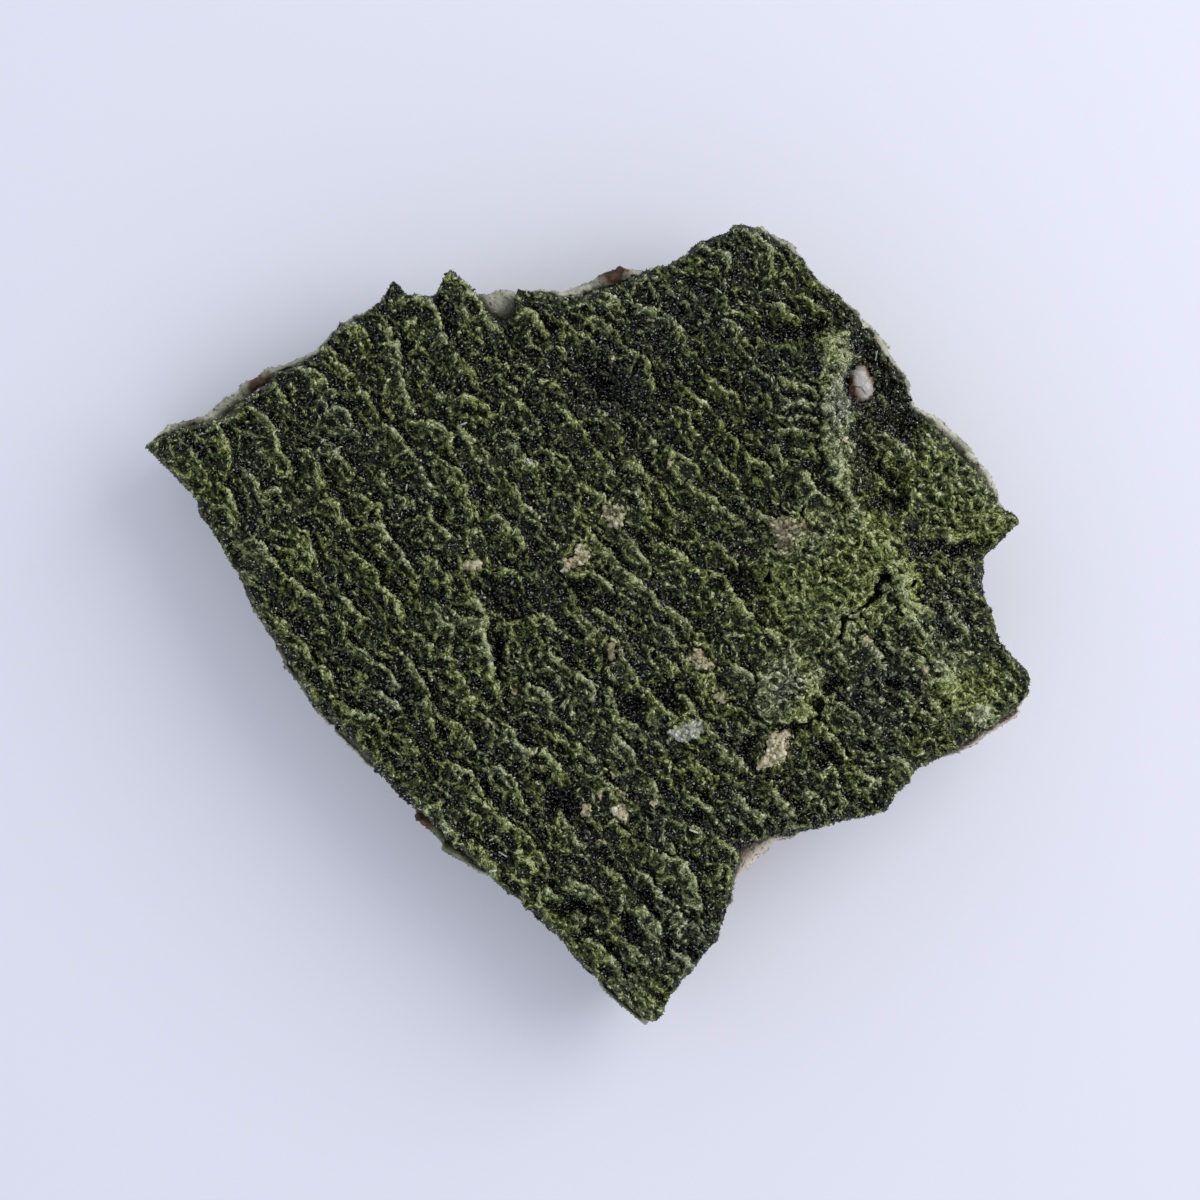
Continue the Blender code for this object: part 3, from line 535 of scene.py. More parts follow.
def tiny_blades(spacing, heights, lengths):
    """Place seeded blades on a finer slanted lattice over the whole crust, for the backs of the others."""
    random = np.random.default_rng(SEED + 5)
    rows = np.arange(-72, 72, spacing)
    columns = np.arange(-72, 72, spacing * 1.9)
    across, along = np.meshgrid(rows, columns)
    along = along + random.uniform(-1.0, 1.0, along.shape) * spacing
    across = across + random.uniform(-0.45, 0.45, across.shape) * spacing
    x = (along * math.cos(BLADE_SLOPE) - across * math.sin(BLADE_SLOPE)).ravel()
    y = (along * math.sin(BLADE_SLOPE) + across * math.cos(BLADE_SLOPE)).ravel()
    kept = np.hypot(x, y) < radius_round(edge, crust_rims + 0.5, np.arctan2(y, x))
    x, y = x[kept], y[kept]
    heading = np.radians(-46 + 9 * np.clip(x / 50, -1, 1) + random.uniform(-24, 24, len(x)))
    half = random.uniform(*lengths, len(x)) / 2
    bend = random.uniform(-0.5, 0.5, len(x))
    ahead = np.stack((np.cos(heading), np.sin(heading)), axis=1) * half[:, None]
    aside = np.stack((-np.sin(heading), np.cos(heading)), axis=1) * bend[:, None]
    middle = np.stack((x, y), axis=1)
    tall = random.uniform(*heights, len(x))
    return [(h, BACK_REACH, tuple(a), tuple(m), tuple(b))
            for h, a, m, b in zip(tall, middle - ahead, middle + aside, middle + ahead)]


BACK_REACH = 1.7
blades = list(MAIN_BLADES) + list(ROW_BLADES) + small_blades()
backs = tiny_blades(1.9, (0.7, 1.5), (1.8, 3.8))
print(len(blades), "blades and", len(backs), "tiny ones on their backs")

# %% [markdown]
# A blade is highest on its crest. It falls gently on the right of the crest's run, down to the
# south-west, and steeply on the left, where the dark pits are. While we stamp each blade on the raster
# we also note how near its crest is, and how deep its shaded side, because the colour follows both: a
# light crest line that is partly fine light crystals and partly painted highlight, and painted shade on
# the steep side, over the pits' dark crystals.

# %% Stamp the blades
BEND = 0.6           # how far noise bends the crests
BACK_STEEP = 0.45    # steep side of the tiny blades
# The light line on a crest is partly a painted highlight, and the shade on a blade's steep side is painted
# shade.
CREST_WIDTHS = (0.3, 0.6)    # of the light line on a crest: on its steep side and on its gentle side
LIP_POWER = 0.8      # below 1 the lip is sharp and its back is hollow
SHADE_WIDTH = 1.7

bent = plan.copy()
for axis in (0, 1):
    bent[..., axis] += BEND * smooth_noise(plan, 2.6, 11 + axis) + 0.26 * smooth_noise(plan, 0.9, 13 + axis)
notches = 0.86 + 0.24 * smooth_noise(plan, 1.4, 15)


def stamp(found, steep_side, height_map, crest_map, shade_map):
    """Keep the highest of: height (1 - (d / reach)^power) on the gentle side, height (1 - d / w) beyond."""
    for blade in found:
        height, reach = blade[:2]
        line = np.array(blade[2:], dtype=float)
        low, high = line.min(axis=0) - reach - 1.0, line.max(axis=0) + reach + 1.0
        rows = slice(*np.searchsorted(y_line, (low[1], high[1])))
        columns = slice(*np.searchsorted(x_line, (low[0], high[0])))
        window = (rows, columns)
        distance, side, share = along_line(bent[window][..., 0], bent[window][..., 1], line)
        ends = 1.0 - 0.45 * np.abs(2.0 * share - 1.0) ** 3
        gentle = 1.0 - (distance / reach) ** LIP_POWER
        steep = 1.0 - distance / steep_side
        shape = height * ends * notches[window] * np.where(side > 0, steep, gentle)
        crest = ends * (1.0 - distance / np.where(side > 0, *CREST_WIDTHS)) * min(height / 3.0, 1.0)
        shade = np.where(side > 0, 1.0 - np.abs(distance - steep_side) / SHADE_WIDTH, 0.0) * height / 4.0
        for kept, value in ((height_map, shape), (crest_map, crest), (shade_map, shade * ends)):
            kept[window] = np.maximum(kept[window], value)


grown, crest_glow, crest_shade = (np.zeros_like(plan_x) for _ in range(3))
stamp(blades, STEEP_SIDE, grown, crest_glow, crest_shade)
back_height, back_glow, back_shade = (np.zeros_like(plan_x) for _ in range(3))
stamp(backs, BACK_STEEP, back_height, back_glow, back_shade)
print("tallest blade", round(float(grown.max()), 2), "mm, tiny ones", round(float(back_height.max()), 2))

# %% Seated crystals and the crust's level
SEATED_CRYSTALS = (
    ("quartz_crystal", 41.0, 35.8, 4.4, 3.0, 5.0, 70, "quartz"),
    ("feldspar_crystal_large", 27.7, -18.8, 6.2, 3.6, 5.0, 54, "feldspar"),
    ("feldspar_crystal_hump", 29.5, 13.0, 4.6, 4.2, 3.6, 10, "feldspar"),
    ("feldspar_crystal_north", 4.3, 16.1, 3.8, 3.2, 3.2, 30, "feldspar"),
    ("feldspar_crystal_middle", -1.0, 9.7, 6.0, 3.2, 3.4, 22, "feldspar"),
    ("feldspar_crystal_west", -17.5, 8.9, 2.6, 2.2, 2.6, 0, "feldspar"),
    ("feldspar_crystal_east", 17.3, -5.3, 4.4, 2.8, 2.8, 10, "feldspar"),
    ("quartz_shard", 14.5, -16.1, 5.0, 2.4, 2.6, -8, "quartz"),
    ("feldspar_crystal_south", 4.9, -28.1, 2.8, 2.4, 2.8, 60, "feldspar"),
)


def seat_level(crystal):
    """Height of the crust where a crystal sits: above the low ground, or deep in the quartz's hollow."""
    x, y = crystal[1:3]
    level = low_ground(x, y) + sum(0.8 * mound(x, y, form) for form in CRUST_FORMS)
    return level + (0.4 if crystal[0] == "quartz_crystal" else SEAT_LIFT)


# Slopes that soften the feet of the solid's steep forms: ground left of the rib, and round the lobe.
SOFT_FORMS = (
    (32.2, 30.8, 5.4, 11.0, 2, 1.3, 4.4),
    (24.5, -6.0, 5.0, 6.0, 0, 1.3, 2.0),
    (36.5, -14.0, 4.0, 3.0, 0, 1.4, 1.2),
)
# Lines that stand out a little: rise, half width, points.
FINE_RIDGES = (
    (0.8, 0.5, ((34.7, 32.5), (34.9, 27.0), (35.3, 22.5))),
    (1.0, 1.5, ((35.8, 26.5), (37.8, 21.7), (41.5, 15.5), (43.9, 11.0), (46.3, 8.0), (48.0, 2.3),
                (50.6, -3.4), (54.2, -9.4))),
)
# Broad patches that are lighter or darker than the shape alone makes them: a mound of tone each.
# Most dark patches sit in the cave, the troughs, the cracks, the pits and the hollows, where they are
# painted shade as well as darker crystals.
LIGHT_PATCHES = (
    (29.5, 14.2, 4.0, 3.0, 0, 1.2, 0.08), (56.4, -10.5, 3.0, 1.5, 0, 1.4, 0.18),
    (59.3, -13.4, 1.8, 2.0, 0, 1.6, 0.5), (10.0, -51.0, 9.0, 9.0, 0, 1.5, 0.07),
    (48.0, -19.0, 9.0, 5.0, -20, 1.4, 0.05), (0.5, 16.5, 5.0, 3.5, 30, 1.2, 0.08),
    (15.5, -14.5, 4.5, 2.5, 20, 1.2, 0.08), (5.0, -25.5, 4.5, 3.0, 0, 1.2, 0.08),
    (14.5, -40.0, 3.0, 6.0, 10, 1.2, 0.08), (-22.0, -1.0, 7.0, 5.0, 0, 1.2, 0.05),
    (57.0, 17.5, 6.0, 4.0, 0, 1.2, 0.05), (47.0, 0.5, 2.6, 3.8, 20, 1.3, 0.14),
    (39.5, -24.0, 4.5, 2.4, 20, 1.3, 0.11), (51.0, -9.0, 3.4, 2.6, 0, 1.3, 0.09),
    (12.5, -9.0, 2.6, 2.6, 0, 1.3, 0.10), (-6.5, 7.5, 3.2, 2.0, 0, 1.3, 0.09),
)
DARK_AND_SHADED_PATCHES = (
    (1.5, 35.5, 8.5, 8.0, 0, 1.4, 0.12), (15.0, 46.5, 10.0, 5.0, 10, 1.3, 0.10),
    (8.5, 36.5, 14.0, 10.0, -10, 1.7, 0.10), (27.0, 45.5, 6.0, 3.0, 15, 1.3, 0.10),
    (51.5, 9.5, 3.0, 6.5, 22, 1.3, 0.14), (31.0, 43.6, 5.0, 1.6, 8, 1.3, 0.14),
    (22.5, 36.0, 4.2, 2.2, -15, 1.3, 0.14), (38.0, 30.0, 3.2, 10.0, 0, 1.4, 0.07),
    (-7.0, 5.0, 8.0, 3.5, 15, 1.3, 0.09), (42.5, -11.5, 5.0, 3.4, 0, 1.3, 0.15),
    (-4.5, -27.8, 6.5, 3.5, -20, 1.3, 0.10), (46.5, 37.0, 4.0, 8.0, 32, 1.5, 0.12),
    (44.6, 34.2, 3.0, 5.4, 20, 1.6, 0.16), (42.2, 31.6, 3.4, 1.6, -10, 1.5, 0.16),
    (23.0, -20.5, 3.5, 2.5, 0, 1.3, 0.10), (-10.0, -30.5, 3.4, 2.6, 0, 1.3, 0.13),
    (4.5, 30.5, 3.6, 3.6, 0, 1.3, 0.12), (20.5, 5.0, 4.4, 2.4, -20, 1.3, 0.11),
    (39.5, -13.0, 3.0, 2.6, 0, 1.3, 0.11), (29.5, 41.5, 3.2, 2.2, 0, 1.3, 0.11),
    (10.0, 39.5, 3.2, 3.0, 0, 1.3, 0.10), (31.5, -18.5, 2.6, 2.2, 0, 1.3, 0.10),
    (-5.0, -39.5, 2.6, 2.4, 0, 1.3, 0.10), (13.5, 1.0, 3.2, 2.0, 0, 1.3, 0.10),
    (-55.0, 30.0, 2.8, 2.6, 0, 1.3, 0.08), (-46.5, 28.5, 2.8, 2.6, 0, 1.3, 0.08),
    (-22.0, 13.5, 3.2, 2.2, 0, 1.3, 0.08), (7.5, 7.5, 2.6, 2.4, 0, 1.3, 0.09),
    (47.0, 12.0, 2.4, 3.0, 0, 1.3, 0.09),
)

# The solid's cracks are wide, as its mesh is coarse. Here they are thin, and some are hardly open.
CRACK_THINNER = 0.46
CRACK_SHARES = (1.0, 0.55, 0.3, 0.6, 0.15)
# Small hollows beside the lobe and holes near the tip, too small for the solid: centre, radii, depth.
HOLLOWS = (
    (36.4, -8.6, 1.5, 1.3, 3.0), (34.4, -12.4, 0.9, 1.7, 3.0), (31.8, -15.7, 2.1, 0.8, 2.4),
    (8.6, -41.2, 1.5, 1.9, 3.0), (6.2, -44.6, 1.2, 1.2, 2.6), (9.2, -43.9, 1.2, 1.0, 2.6),
    (11.0, -55.3, 1.4, 0.7, 2.0), (3.5, -48.2, 1.0, 1.0, 2.2), (14.6, -44.2, 1.3, 1.0, 2.2),
    (5.8, -51.4, 0.9, 0.7, 1.8), (15.3, -48.4, 0.9, 0.8, 1.8), (0.2, -46.0, 1.3, 1.0, 2.2),
)

# Left of the rib rows of crystals cross the granular place, so it counts about half there.
ROWS_PLACE = (32.0, 33.0, 7.5, 13.0, 0, 1.4, 0.55)

granular = granular_share(plan_x, plan_y) * (1.0 - mound(plan_x, plan_y, ROWS_PLACE))
broad = low_ground(plan_x, plan_y)
relief = sum(mound(bent[..., 0], bent[..., 1], form) for form in CRUST_FORMS + SOFT_FORMS)
relief = relief + grown * (1.0 - 0.85 * granular) + back_height * (1.0 - 0.45 * granular)
for x, y, along, across, depth in PITS + HOLLOWS:
    relief -= mound(bent[..., 0], bent[..., 1], (x, y, along, across, 0, 1.5, depth))
ragged = CRACK_THINNER * (1.05 + 0.6 * smooth_noise(plan, 1.6, 16) + 0.8 * smooth_noise(plan, 0.7, 15))
broken = bent + 0.55 * np.stack([smooth_noise(plan, 1.1, seed) for seed in (17, 18, 19)], axis=-1)
open_share = smooth_step(0.9 + 1.3 * smooth_noise(plan, 2.6, 20))
for (depth, half_width, line), share in zip(CRACKS, CRACK_SHARES):
    distance = along_line(broken[..., 0], broken[..., 1], line)[0]
    relief -= open_share * share * depth * smooth_step(1.3 - distance / (half_width * ragged))
ridge_tone = np.zeros_like(plan_x)
for rise, half_width, line in FINE_RIDGES:
    ridge = smooth_step(1.2 - along_line(bent[..., 0], bent[..., 1], line)[0] / half_width)
    relief += rise * ridge
    ridge_tone = np.maximum(ridge_tone, ridge)
for crystal in SEATED_CRYSTALS:
    _, x, y, length, width = crystal[:5]
    radius = np.hypot(plan_x - x, plan_y - y) - (length + width) / 4
    share = smooth_step(1.0 - radius / SEAT_MARGIN)
    relief = relief * (1.0 - share) + (seat_level(crystal) - low_ground(x, y)) * share

# Thin crumpled walls of crystals of two sizes stand on everything, drawn out along the blades, and the
# open swells have pores between them.
DRAWN_OUT = 0.62         # the walls' cells are 1 / 0.62 times as long along the blades as across

drawn = np.stack((
    DRAWN_OUT * (bent[..., 0] * math.cos(BLADE_SLOPE) + bent[..., 1] * math.sin(BLADE_SLOPE)),
    bent[..., 1] * math.cos(BLADE_SLOPE) - bent[..., 0] * math.sin(BLADE_SLOPE),
    bent[..., 2],
), axis=-1)
crumple = 0.85 * cell_walls(drawn, 1.9, 0.34, 21) + 0.45 * cell_walls(drawn, 1.05, 0.42, 22)
pores = smooth_step(1.6 - cell_noise(bent, 2.7, 23)[0] / 0.13)
relief += crumple * (1.0 - 0.25 * granular) - 1.2 * pores * granular
height_map = np.maximum(broad + relief, broad - CRUST_THICKNESS + CRUST_LEAST)
print("crust from", round(float(height_map[to_edge > 0].min()), 1), "to", round(float(height_map.max()), 1))

# %% [markdown]
# ## What is light and what is dark
#
# Epidote is black-green where crystals are large and clean, and light yellow-green where they are fine
# and catch dust and light. On the specimen the fine ones stand on crests and open swells. So the tone is
# worked out from the shape: high above its surroundings is light, low between them is dark. That is
# partly the crystals' own colour and partly painted light: painted shade in hollows, pits and on steep
# sides, and a painted highlight on crests and ridges.

# %% Tone of the crust
def blur(values, width):
    """Gaussian blur by multiplying the spectrum by exp(-2 (pi width f)^2)."""
    across = np.fft.rfftfreq(values.shape[1], RASTER)
    down = np.fft.fftfreq(values.shape[0], RASTER)
    fall = np.exp(-2.0 * (math.pi * width) ** 2 * (across[None, :] ** 2 + down[:, None] ** 2))
    return np.fft.irfft2(np.fft.rfft2(values) * fall, values.shape)


# How much each measure adds to a tone of 0, black-green, to 1, pale yellow-green.
GROUND_TONE = 0.203
NEAR_SHARE = 0.21
FAR_SHARE = 0.1
PATCH_SHARE = 0.12
GRANULAR_TONE = 0.155
RIDGE_TONE = 0.08
CREST_TONE = 0.27
SHADE_TONE = 0.24
BACK_TONE = 0.10         # tiny blades: their crests add it and their shaded sides take it away

# Height above the blurred surroundings lightens and depth below them darkens: painted light and painted shade
# on top of the crystals' own tone.
near_relief = np.clip((height_map - blur(height_map, 0.6)) / 0.45, -1.3, 1.3)
far_relief = np.clip((height_map - blur(height_map, 2.6)) / 1.6, -1.5, 1.5)
patches = smooth_noise(plan, 9.0, 31) * 0.6 + smooth_noise(plan, 3.2, 32) * 0.4
tone_map = GROUND_TONE + NEAR_SHARE * near_relief + FAR_SHARE * far_relief + PATCH_SHARE * patches
# Ridges and crests are lighter, partly for their fine crystals and partly as painted highlight; the blades'
# steep sides are darker as painted shade over their dark crystals.
tone_map = tone_map + GRANULAR_TONE * granular + RIDGE_TONE * ridge_tone
tone_map += CREST_TONE * crest_glow * (1.0 - 0.7 * granular) + BACK_TONE * back_glow
tone_map -= SHADE_TONE * crest_shade * (1.0 - granular) + BACK_TONE * back_shade
tone_map += sum(mound(plan_x, plan_y, patch) for patch in LIGHT_PATCHES)
tone_map -= sum(mound(plan_x, plan_y, patch) for patch in DARK_AND_SHADED_PATCHES)
tone_map = np.clip(tone_map, 0.0, 1.0)

# Where a grey film lies on the green, most on the rib's flank and the ridge below it.
ASH = (
    (38.4, 33.5, 2.5, 9.0, -6, 1.3, 0.6), (46.0, 8.0, 2.6, 9.0, 24, 1.3, 0.1),
    (30.2, -8.8, 2.4, 2.6, 0, 1.2, 0.5), (44.0, -11.0, 8.0, 6.0, 0, 1.2, 0.4),
    (14.0, -45.0, 8.0, 10.0, 20, 1.2, 0.4), (12.0, 44.0, 14.0, 7.0, 0, 1.2, 0.3),
    (59.3, -13.6, 1.8, 2.0, 0, 1.4, 0.4),
)
# The mossy corner right of the lobe has no film.
MOSSY = (56.4, -10.3, 4.2, 2.4, 0, 1.4, 0.8)


def ash_share(points):
    """Grey film at points in millimetres: the strongest mound and drifting noise, between 0 and 1."""
    film = np.max([mound(points[:, 0], points[:, 1], form) for form in ASH], axis=0)
    film = film - mound(points[:, 0], points[:, 1], MOSSY)
    film = 0.12 + film + 0.34 * smooth_noise(points, 5.5, 33) + 0.22 * smooth_noise(points, 1.6, 34)
    return np.clip(film, 0, 1)


print("tone: dark tenth", np.round(np.percentile(tone_map[to_edge > 0], (10, 50, 90)), 2))

# %% [markdown]
# ## From raster to mesh
#
# A square sheet is bent into the outline: squares become rings round the middle, which keeps the cells
# nearly equal, and the radius is scaled to the edge. Each blade then leans a little to the north-east,
# so that its lip hangs over the pit beside it, which a plain height map could never show.

# %% Sampling, leaning and meshes
LEAN = np.array((0.26, 0.24))   # sideways shift of a point for each millimetre its blade has grown


def sample(values, x, y):
    """Read a raster between its points, in proportion to the distance from the four nearest."""
    u = np.clip((x - x_line[0]) / RASTER, 0, len(x_line) - 1.001)
    v = np.clip((y - y_line[0]) / RASTER, 0, len(y_line) - 1.001)
    i, j = u.astype(int), v.astype(int)
    s, t = u - i, v - j
    lower = values[j, i] * (1 - s) + values[j, i + 1] * s
    upper = values[j + 1, i] * (1 - s) + values[j + 1, i + 1] * s
    return lower * (1 - t) + upper * t


lift = blur(np.minimum(grown, 4.0) * (1.0 - 0.85 * granular), 0.25)


def leaned(x, y):
    """Place of a plan point on the crust: raster height, and LEAN times the blade's height sideways."""
    shift = sample(lift, x, y) * smooth_step(sample(to_edge, x, y) / 3.0)
    stir = 0.12 * smooth_step(sample(to_edge, x, y) / 1.5)
    points = flat_points(x, y)
    return np.stack((
        x + LEAN[0] * shift + stir * smooth_noise(points, 0.7, 41),
        y + LEAN[1] * shift + stir * smooth_noise(points, 0.7, 42),
        sample(height_map, x, y),
    ), axis=-1)


def make_piece(name, vertices, triangles, material, slot, tones=None, unwrapped=None, replaced=()):
    """Turn millimetre arrays into a mesh that rides on the body, with tones and a UV map for baking."""
    mesh = bpy.data.meshes.new(name)
    mesh.vertices.add(len(vertices))
    mesh.vertices.foreach_set("co", (vertices * MM).astype(np.float32).ravel())
    mesh.loops.add(triangles.size)
    mesh.loops.foreach_set("vertex_index", triangles.astype(np.int32).ravel())
    mesh.polygons.add(len(triangles))
    mesh.polygons.foreach_set("loop_start", np.arange(0, triangles.size, 3, dtype=np.int32))
    mesh.update(calc_edges=True)
    if tones is not None:
        mesh.attributes.new("tone", "FLOAT", "POINT").data.foreach_set("value", tones.astype(np.float32))
    if slot == "epidote":
        film = ash_share(vertices).astype(np.float32)
        mesh.attributes.new("ash", "FLOAT", "POINT").data.foreach_set("value", film)
    if unwrapped is not None:
        mesh.uv_layers.new(name="OFBake").data.foreach_set("uv", unwrapped.astype(np.float32).ravel())
    mesh.materials.append(material)
    piece = bpy.data.objects.new(name, mesh)
    bpy.context.scene.collection.objects.link(piece)
    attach(piece, "root")
    if replaced:
        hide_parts(*replaced)
    print(name, len(triangles), "triangles")
    return piece


def ring_strip(upper, lower):
    """Triangles between two rings of vertex numbers that run the same way round."""
    upper_next, lower_next = np.roll(upper, -1), np.roll(lower, -1)
    return np.concatenate((
        np.stack((upper, lower, lower_next), axis=1),
        np.stack((upper, lower_next, upper_next), axis=1),
    ))


# %% Sheet of the crust
SHEET_SIDE = 286
WALL_ROWS = 7

a, b = np.meshgrid(np.linspace(-1, 1, SHEET_SIDE), np.linspace(-1, 1, SHEET_SIDE))
wide = np.abs(a) >= np.abs(b)
main = np.where(wide, a, b)
other = np.where(wide, b, a) / np.where(main == 0.0, 1.0, main)
turn = np.where(wide, math.pi / 4 * other, math.pi / 2 - math.pi / 4 * other)
disc_x, disc_y = main * np.cos(turn), main * np.sin(turn)
part = np.hypot(disc_x, disc_y).ravel()
around = np.arctan2(disc_y, disc_x).ravel()

every = np.linspace(-math.pi, math.pi, 1440, endpoint=False)
rough = flat_points(np.cos(every) * 60.0, np.sin(every) * 60.0)
outer = radius_round(edge, crust_rims, every)
outer = outer + 0.35 * smooth_noise(rough, 1.9, 51) + 0.45 * (0.5 - cell_noise(rough, 1.1, 52)[0])
outer = outer + 0.22 * smooth_noise(rough, 0.6, 53)
kernel = np.exp(-0.5 * (np.arange(-80, 81) / 32.0) ** 2)
calm = np.convolve(np.concatenate((outer[-80:], outer, outer[:80])), kernel / kernel.sum(), "valid")
reach = np.interp(around, every, outer, period=2 * math.pi)
calm_reach = np.interp(around, every, calm, period=2 * math.pi)
radius = part * calm_reach + smooth_step((part - 0.7) / 0.3) * (reach - calm_reach)
sheet_x, sheet_y = radius * np.cos(around), radius * np.sin(around)
top = leaned(sheet_x, sheet_y)
top[:, 2] -= 1.1 * (1.0 - smooth_step(sample(to_edge, sheet_x, sheet_y) / 1.3 + 0.2))

number = np.arange(SHEET_SIDE ** 2).reshape(SHEET_SIDE, SHEET_SIDE)
c00, c10, c01, c11 = (number[:-1, :-1].ravel(), number[:-1, 1:].ravel(), number[1:, :-1].ravel(),
                      number[1:, 1:].ravel())
flip = np.random.default_rng(SEED + 6).random(len(c00)) < 0.5
faces = np.concatenate((
    np.where(flip[:, None], np.stack((c00, c10, c01), axis=1), np.stack((c00, c10, c11), axis=1)),
    np.where(flip[:, None], np.stack((c10, c11, c01), axis=1), np.stack((c00, c11, c01), axis=1)),
))
rim_ring = np.concatenate((number[0, :-1], number[:-1, -1], number[-1, :0:-1], number[:0:-1, 0]))
print("cells about", round(float(np.sqrt((to_edge > 0).sum() * RASTER ** 2 / len(c00))), 2), "mm wide")

# %% Wall and underside of the crust
ring_angle = around[rim_ring]
ring_reach = radius[rim_ring]
shared_reach = radius_round(edge, np.maximum(rims, OVERHANG) + SHARED_INSET, ring_angle)
under_x, under_y = shared_reach * np.cos(ring_angle), shared_reach * np.sin(ring_angle)
foot = low_ground(under_x, under_y) - CRUST_THICKNESS + TOUCH_GAP
layers = [top]
rings = [rim_ring]
count = len(top)
for row in range(1, WALL_ROWS + 1):
    down = row / WALL_ROWS
    level = top[rim_ring, 2] * (1 - down) + (foot + 0.5) * down
    bare = flat_points(np.cos(ring_angle) * ring_reach, np.sin(ring_angle) * ring_reach)
    bare[:, 2] = level
    knobs = 0.5 * (0.3 - cell_noise(bare, 1.5, 61)[0]) + 0.2 * smooth_noise(bare, 3.0, 62)
    out = ring_reach - 0.35 * down + knobs * min(1.0, 3.0 * (1 - down)) * min(1.0, 3.0 * down)
    layers.append(np.stack((np.cos(ring_angle) * out, np.sin(ring_angle) * out, level), axis=1))
    rings.append(count + np.arange(len(rim_ring)))
    count += len(rim_ring)
for share in (1.0, 0.75, 0.35):
    x, y = under_x * share, under_y * share
    layers.append(np.stack((x, y, low_ground(x, y) - CRUST_THICKNESS + TOUCH_GAP), axis=1))
    rings.append(count + np.arange(len(rim_ring)))
    count += len(rim_ring)
layers.append(np.array([[0.0, 0.0, low_ground(0.0, 0.0) - CRUST_THICKNESS + TOUCH_GAP]]))
strips = [ring_strip(upper, lower) for upper, lower in zip(rings[:-1], rings[1:])]
last = rings[-1]
strips.append(np.stack((last, np.full(len(last), count), np.roll(last, -1)), axis=1))
crust_vertices = np.concatenate(layers)
crust_faces = np.concatenate([faces] + strips)
wall_tone = 0.30 + 0.12 * smooth_noise(crust_vertices, 2.2, 63)
crust_tone = np.where(np.arange(len(crust_vertices)) < len(top), 0.0, wall_tone)
crust_tone[:len(top)] = sample(tone_map, sheet_x, sheet_y)
print("crust", len(crust_faces), "triangles")

# %% [markdown]
# ## Epidote
#
# Epidote is a glassy mineral with a high refractive index, about 1.73, so clean faces glint. Its colour
# follows the tone that we worked out: black-green in the pits, olive on the blades' backs and a dusty
# yellow-green on the crests. Noise at two sizes keeps any one tone from looking painted.

# %% Epidote material
PATCH_SIZE = 0.005       # in metres: groups of crystals differ
SPECK_SIZE = 0.0004      # about the width of one crystal
CRYSTAL_SIZE = 0.00036
FACE_GRAIN = 0.00018     # unevenness of one face
TONE_CENTRE = 0.43       # what the noises add on average


def end_material(tree, output, place, grain, bump, values, links):
    """End a material: a fine noise (size, detail) as a bump (strength, depth), then a glossy shader."""
    noise = add_node(tree, "ShaderNodeTexNoise", {"Scale": 1 / grain[0], "Detail": grain[1]},
                     {"Vector": place})
    raised = add_node(tree, "ShaderNodeBump", {"Strength": bump[0], "Distance": bump[1]},
                      {"Height": noise.outputs["Fac"]})
    shader = add_node(tree, "ShaderNodeBsdfPrincipled", values,
                      {**links, "Normal": raised.outputs["Normal"]})
    tree.links.new(shader.outputs["BSDF"], output.inputs["Surface"])


def make_epidote(name, least_rough, most_rough, shine, cells):
    """Glassy green crystal, coloured by its tone. cells is how far single crystals differ in tone."""
    material, tree, output = new_material(name)
    tone = add_node(tree, "ShaderNodeAttribute", attribute_name="tone")
    place = add_node(tree, "ShaderNodeTexCoord").outputs["Object"]
    patch = add_node(tree, "ShaderNodeTexNoise", {"Scale": 1 / PATCH_SIZE, "Detail": 3.0}, {"Vector": place})
    speck = add_node(tree, "ShaderNodeTexNoise", {"Scale": 1 / SPECK_SIZE, "Detail": 2.0}, {"Vector": place})
    shifted = add_node(tree, "ShaderNodeMath", {1: 0.22}, {0: patch.outputs["Fac"], 2: tone.outputs["Fac"]},
                       operation="MULTIPLY_ADD")
    mixed = add_node(tree, "ShaderNodeMath", {1: 0.62},
                     {0: speck.outputs["Fac"], 2: shifted.outputs["Value"]}, operation="MULTIPLY_ADD")
    # Each cell of the pattern has one tone, as each crystal face catches its own light.
    crystal = add_node(tree, "ShaderNodeTexVoronoi", {"Scale": 1 / CRYSTAL_SIZE}, {"Vector": place})
    single = add_node(tree, "ShaderNodeSeparateColor", {}, {"Color": crystal.outputs["Color"]})
    grainy = add_node(tree, "ShaderNodeMath", {1: cells},
                      {0: single.outputs["Red"], 2: mixed.outputs["Value"]}, operation="MULTIPLY_ADD")
    centred = add_node(tree, "ShaderNodeMath", {1: TONE_CENTRE + 0.5 * cells}, {0: grainy.outputs["Value"]},
                       operation="SUBTRACT")
    green = add_ramp(tree, centred.outputs["Value"], (
        (0.02, "#050602"), (0.18, "#171c08"), (0.36, "#454d24"), (0.56, "#767f40"), (0.78, "#a6b06a"),
        (1.0, "#d8deb0"),
    ))
    grey = add_ramp(tree, centred.outputs["Value"], (
        (0.02, "#060705"), (0.18, "#191c15"), (0.36, "#484d40"), (0.56, "#757b6a"), (0.78, "#a3a896"),
        (1.0, "#dcdecf"),
    ))
    ash = add_node(tree, "ShaderNodeAttribute", attribute_name="ash")
    dusted = add_node(tree, "ShaderNodeMix", {},
                      {0: ash.outputs["Fac"], 6: green.outputs["Color"], 7: grey.outputs["Color"]},
                      data_type="RGBA")
    dull = add_node(tree, "ShaderNodeMapRange",
                    {"From Min": 0.1, "From Max": 0.6, "To Min": least_rough, "To Max": most_rough},
                    {"Value": centred.outputs["Value"]})
    end_material(tree, output, place, (FACE_GRAIN, 2.0), (0.4, 0.00008),
                 {"IOR": 1.73, "Specular IOR Level": shine},
                 {"Base Color": dusted.outputs[2], "Roughness": dull.outputs["Result"]})
    return material


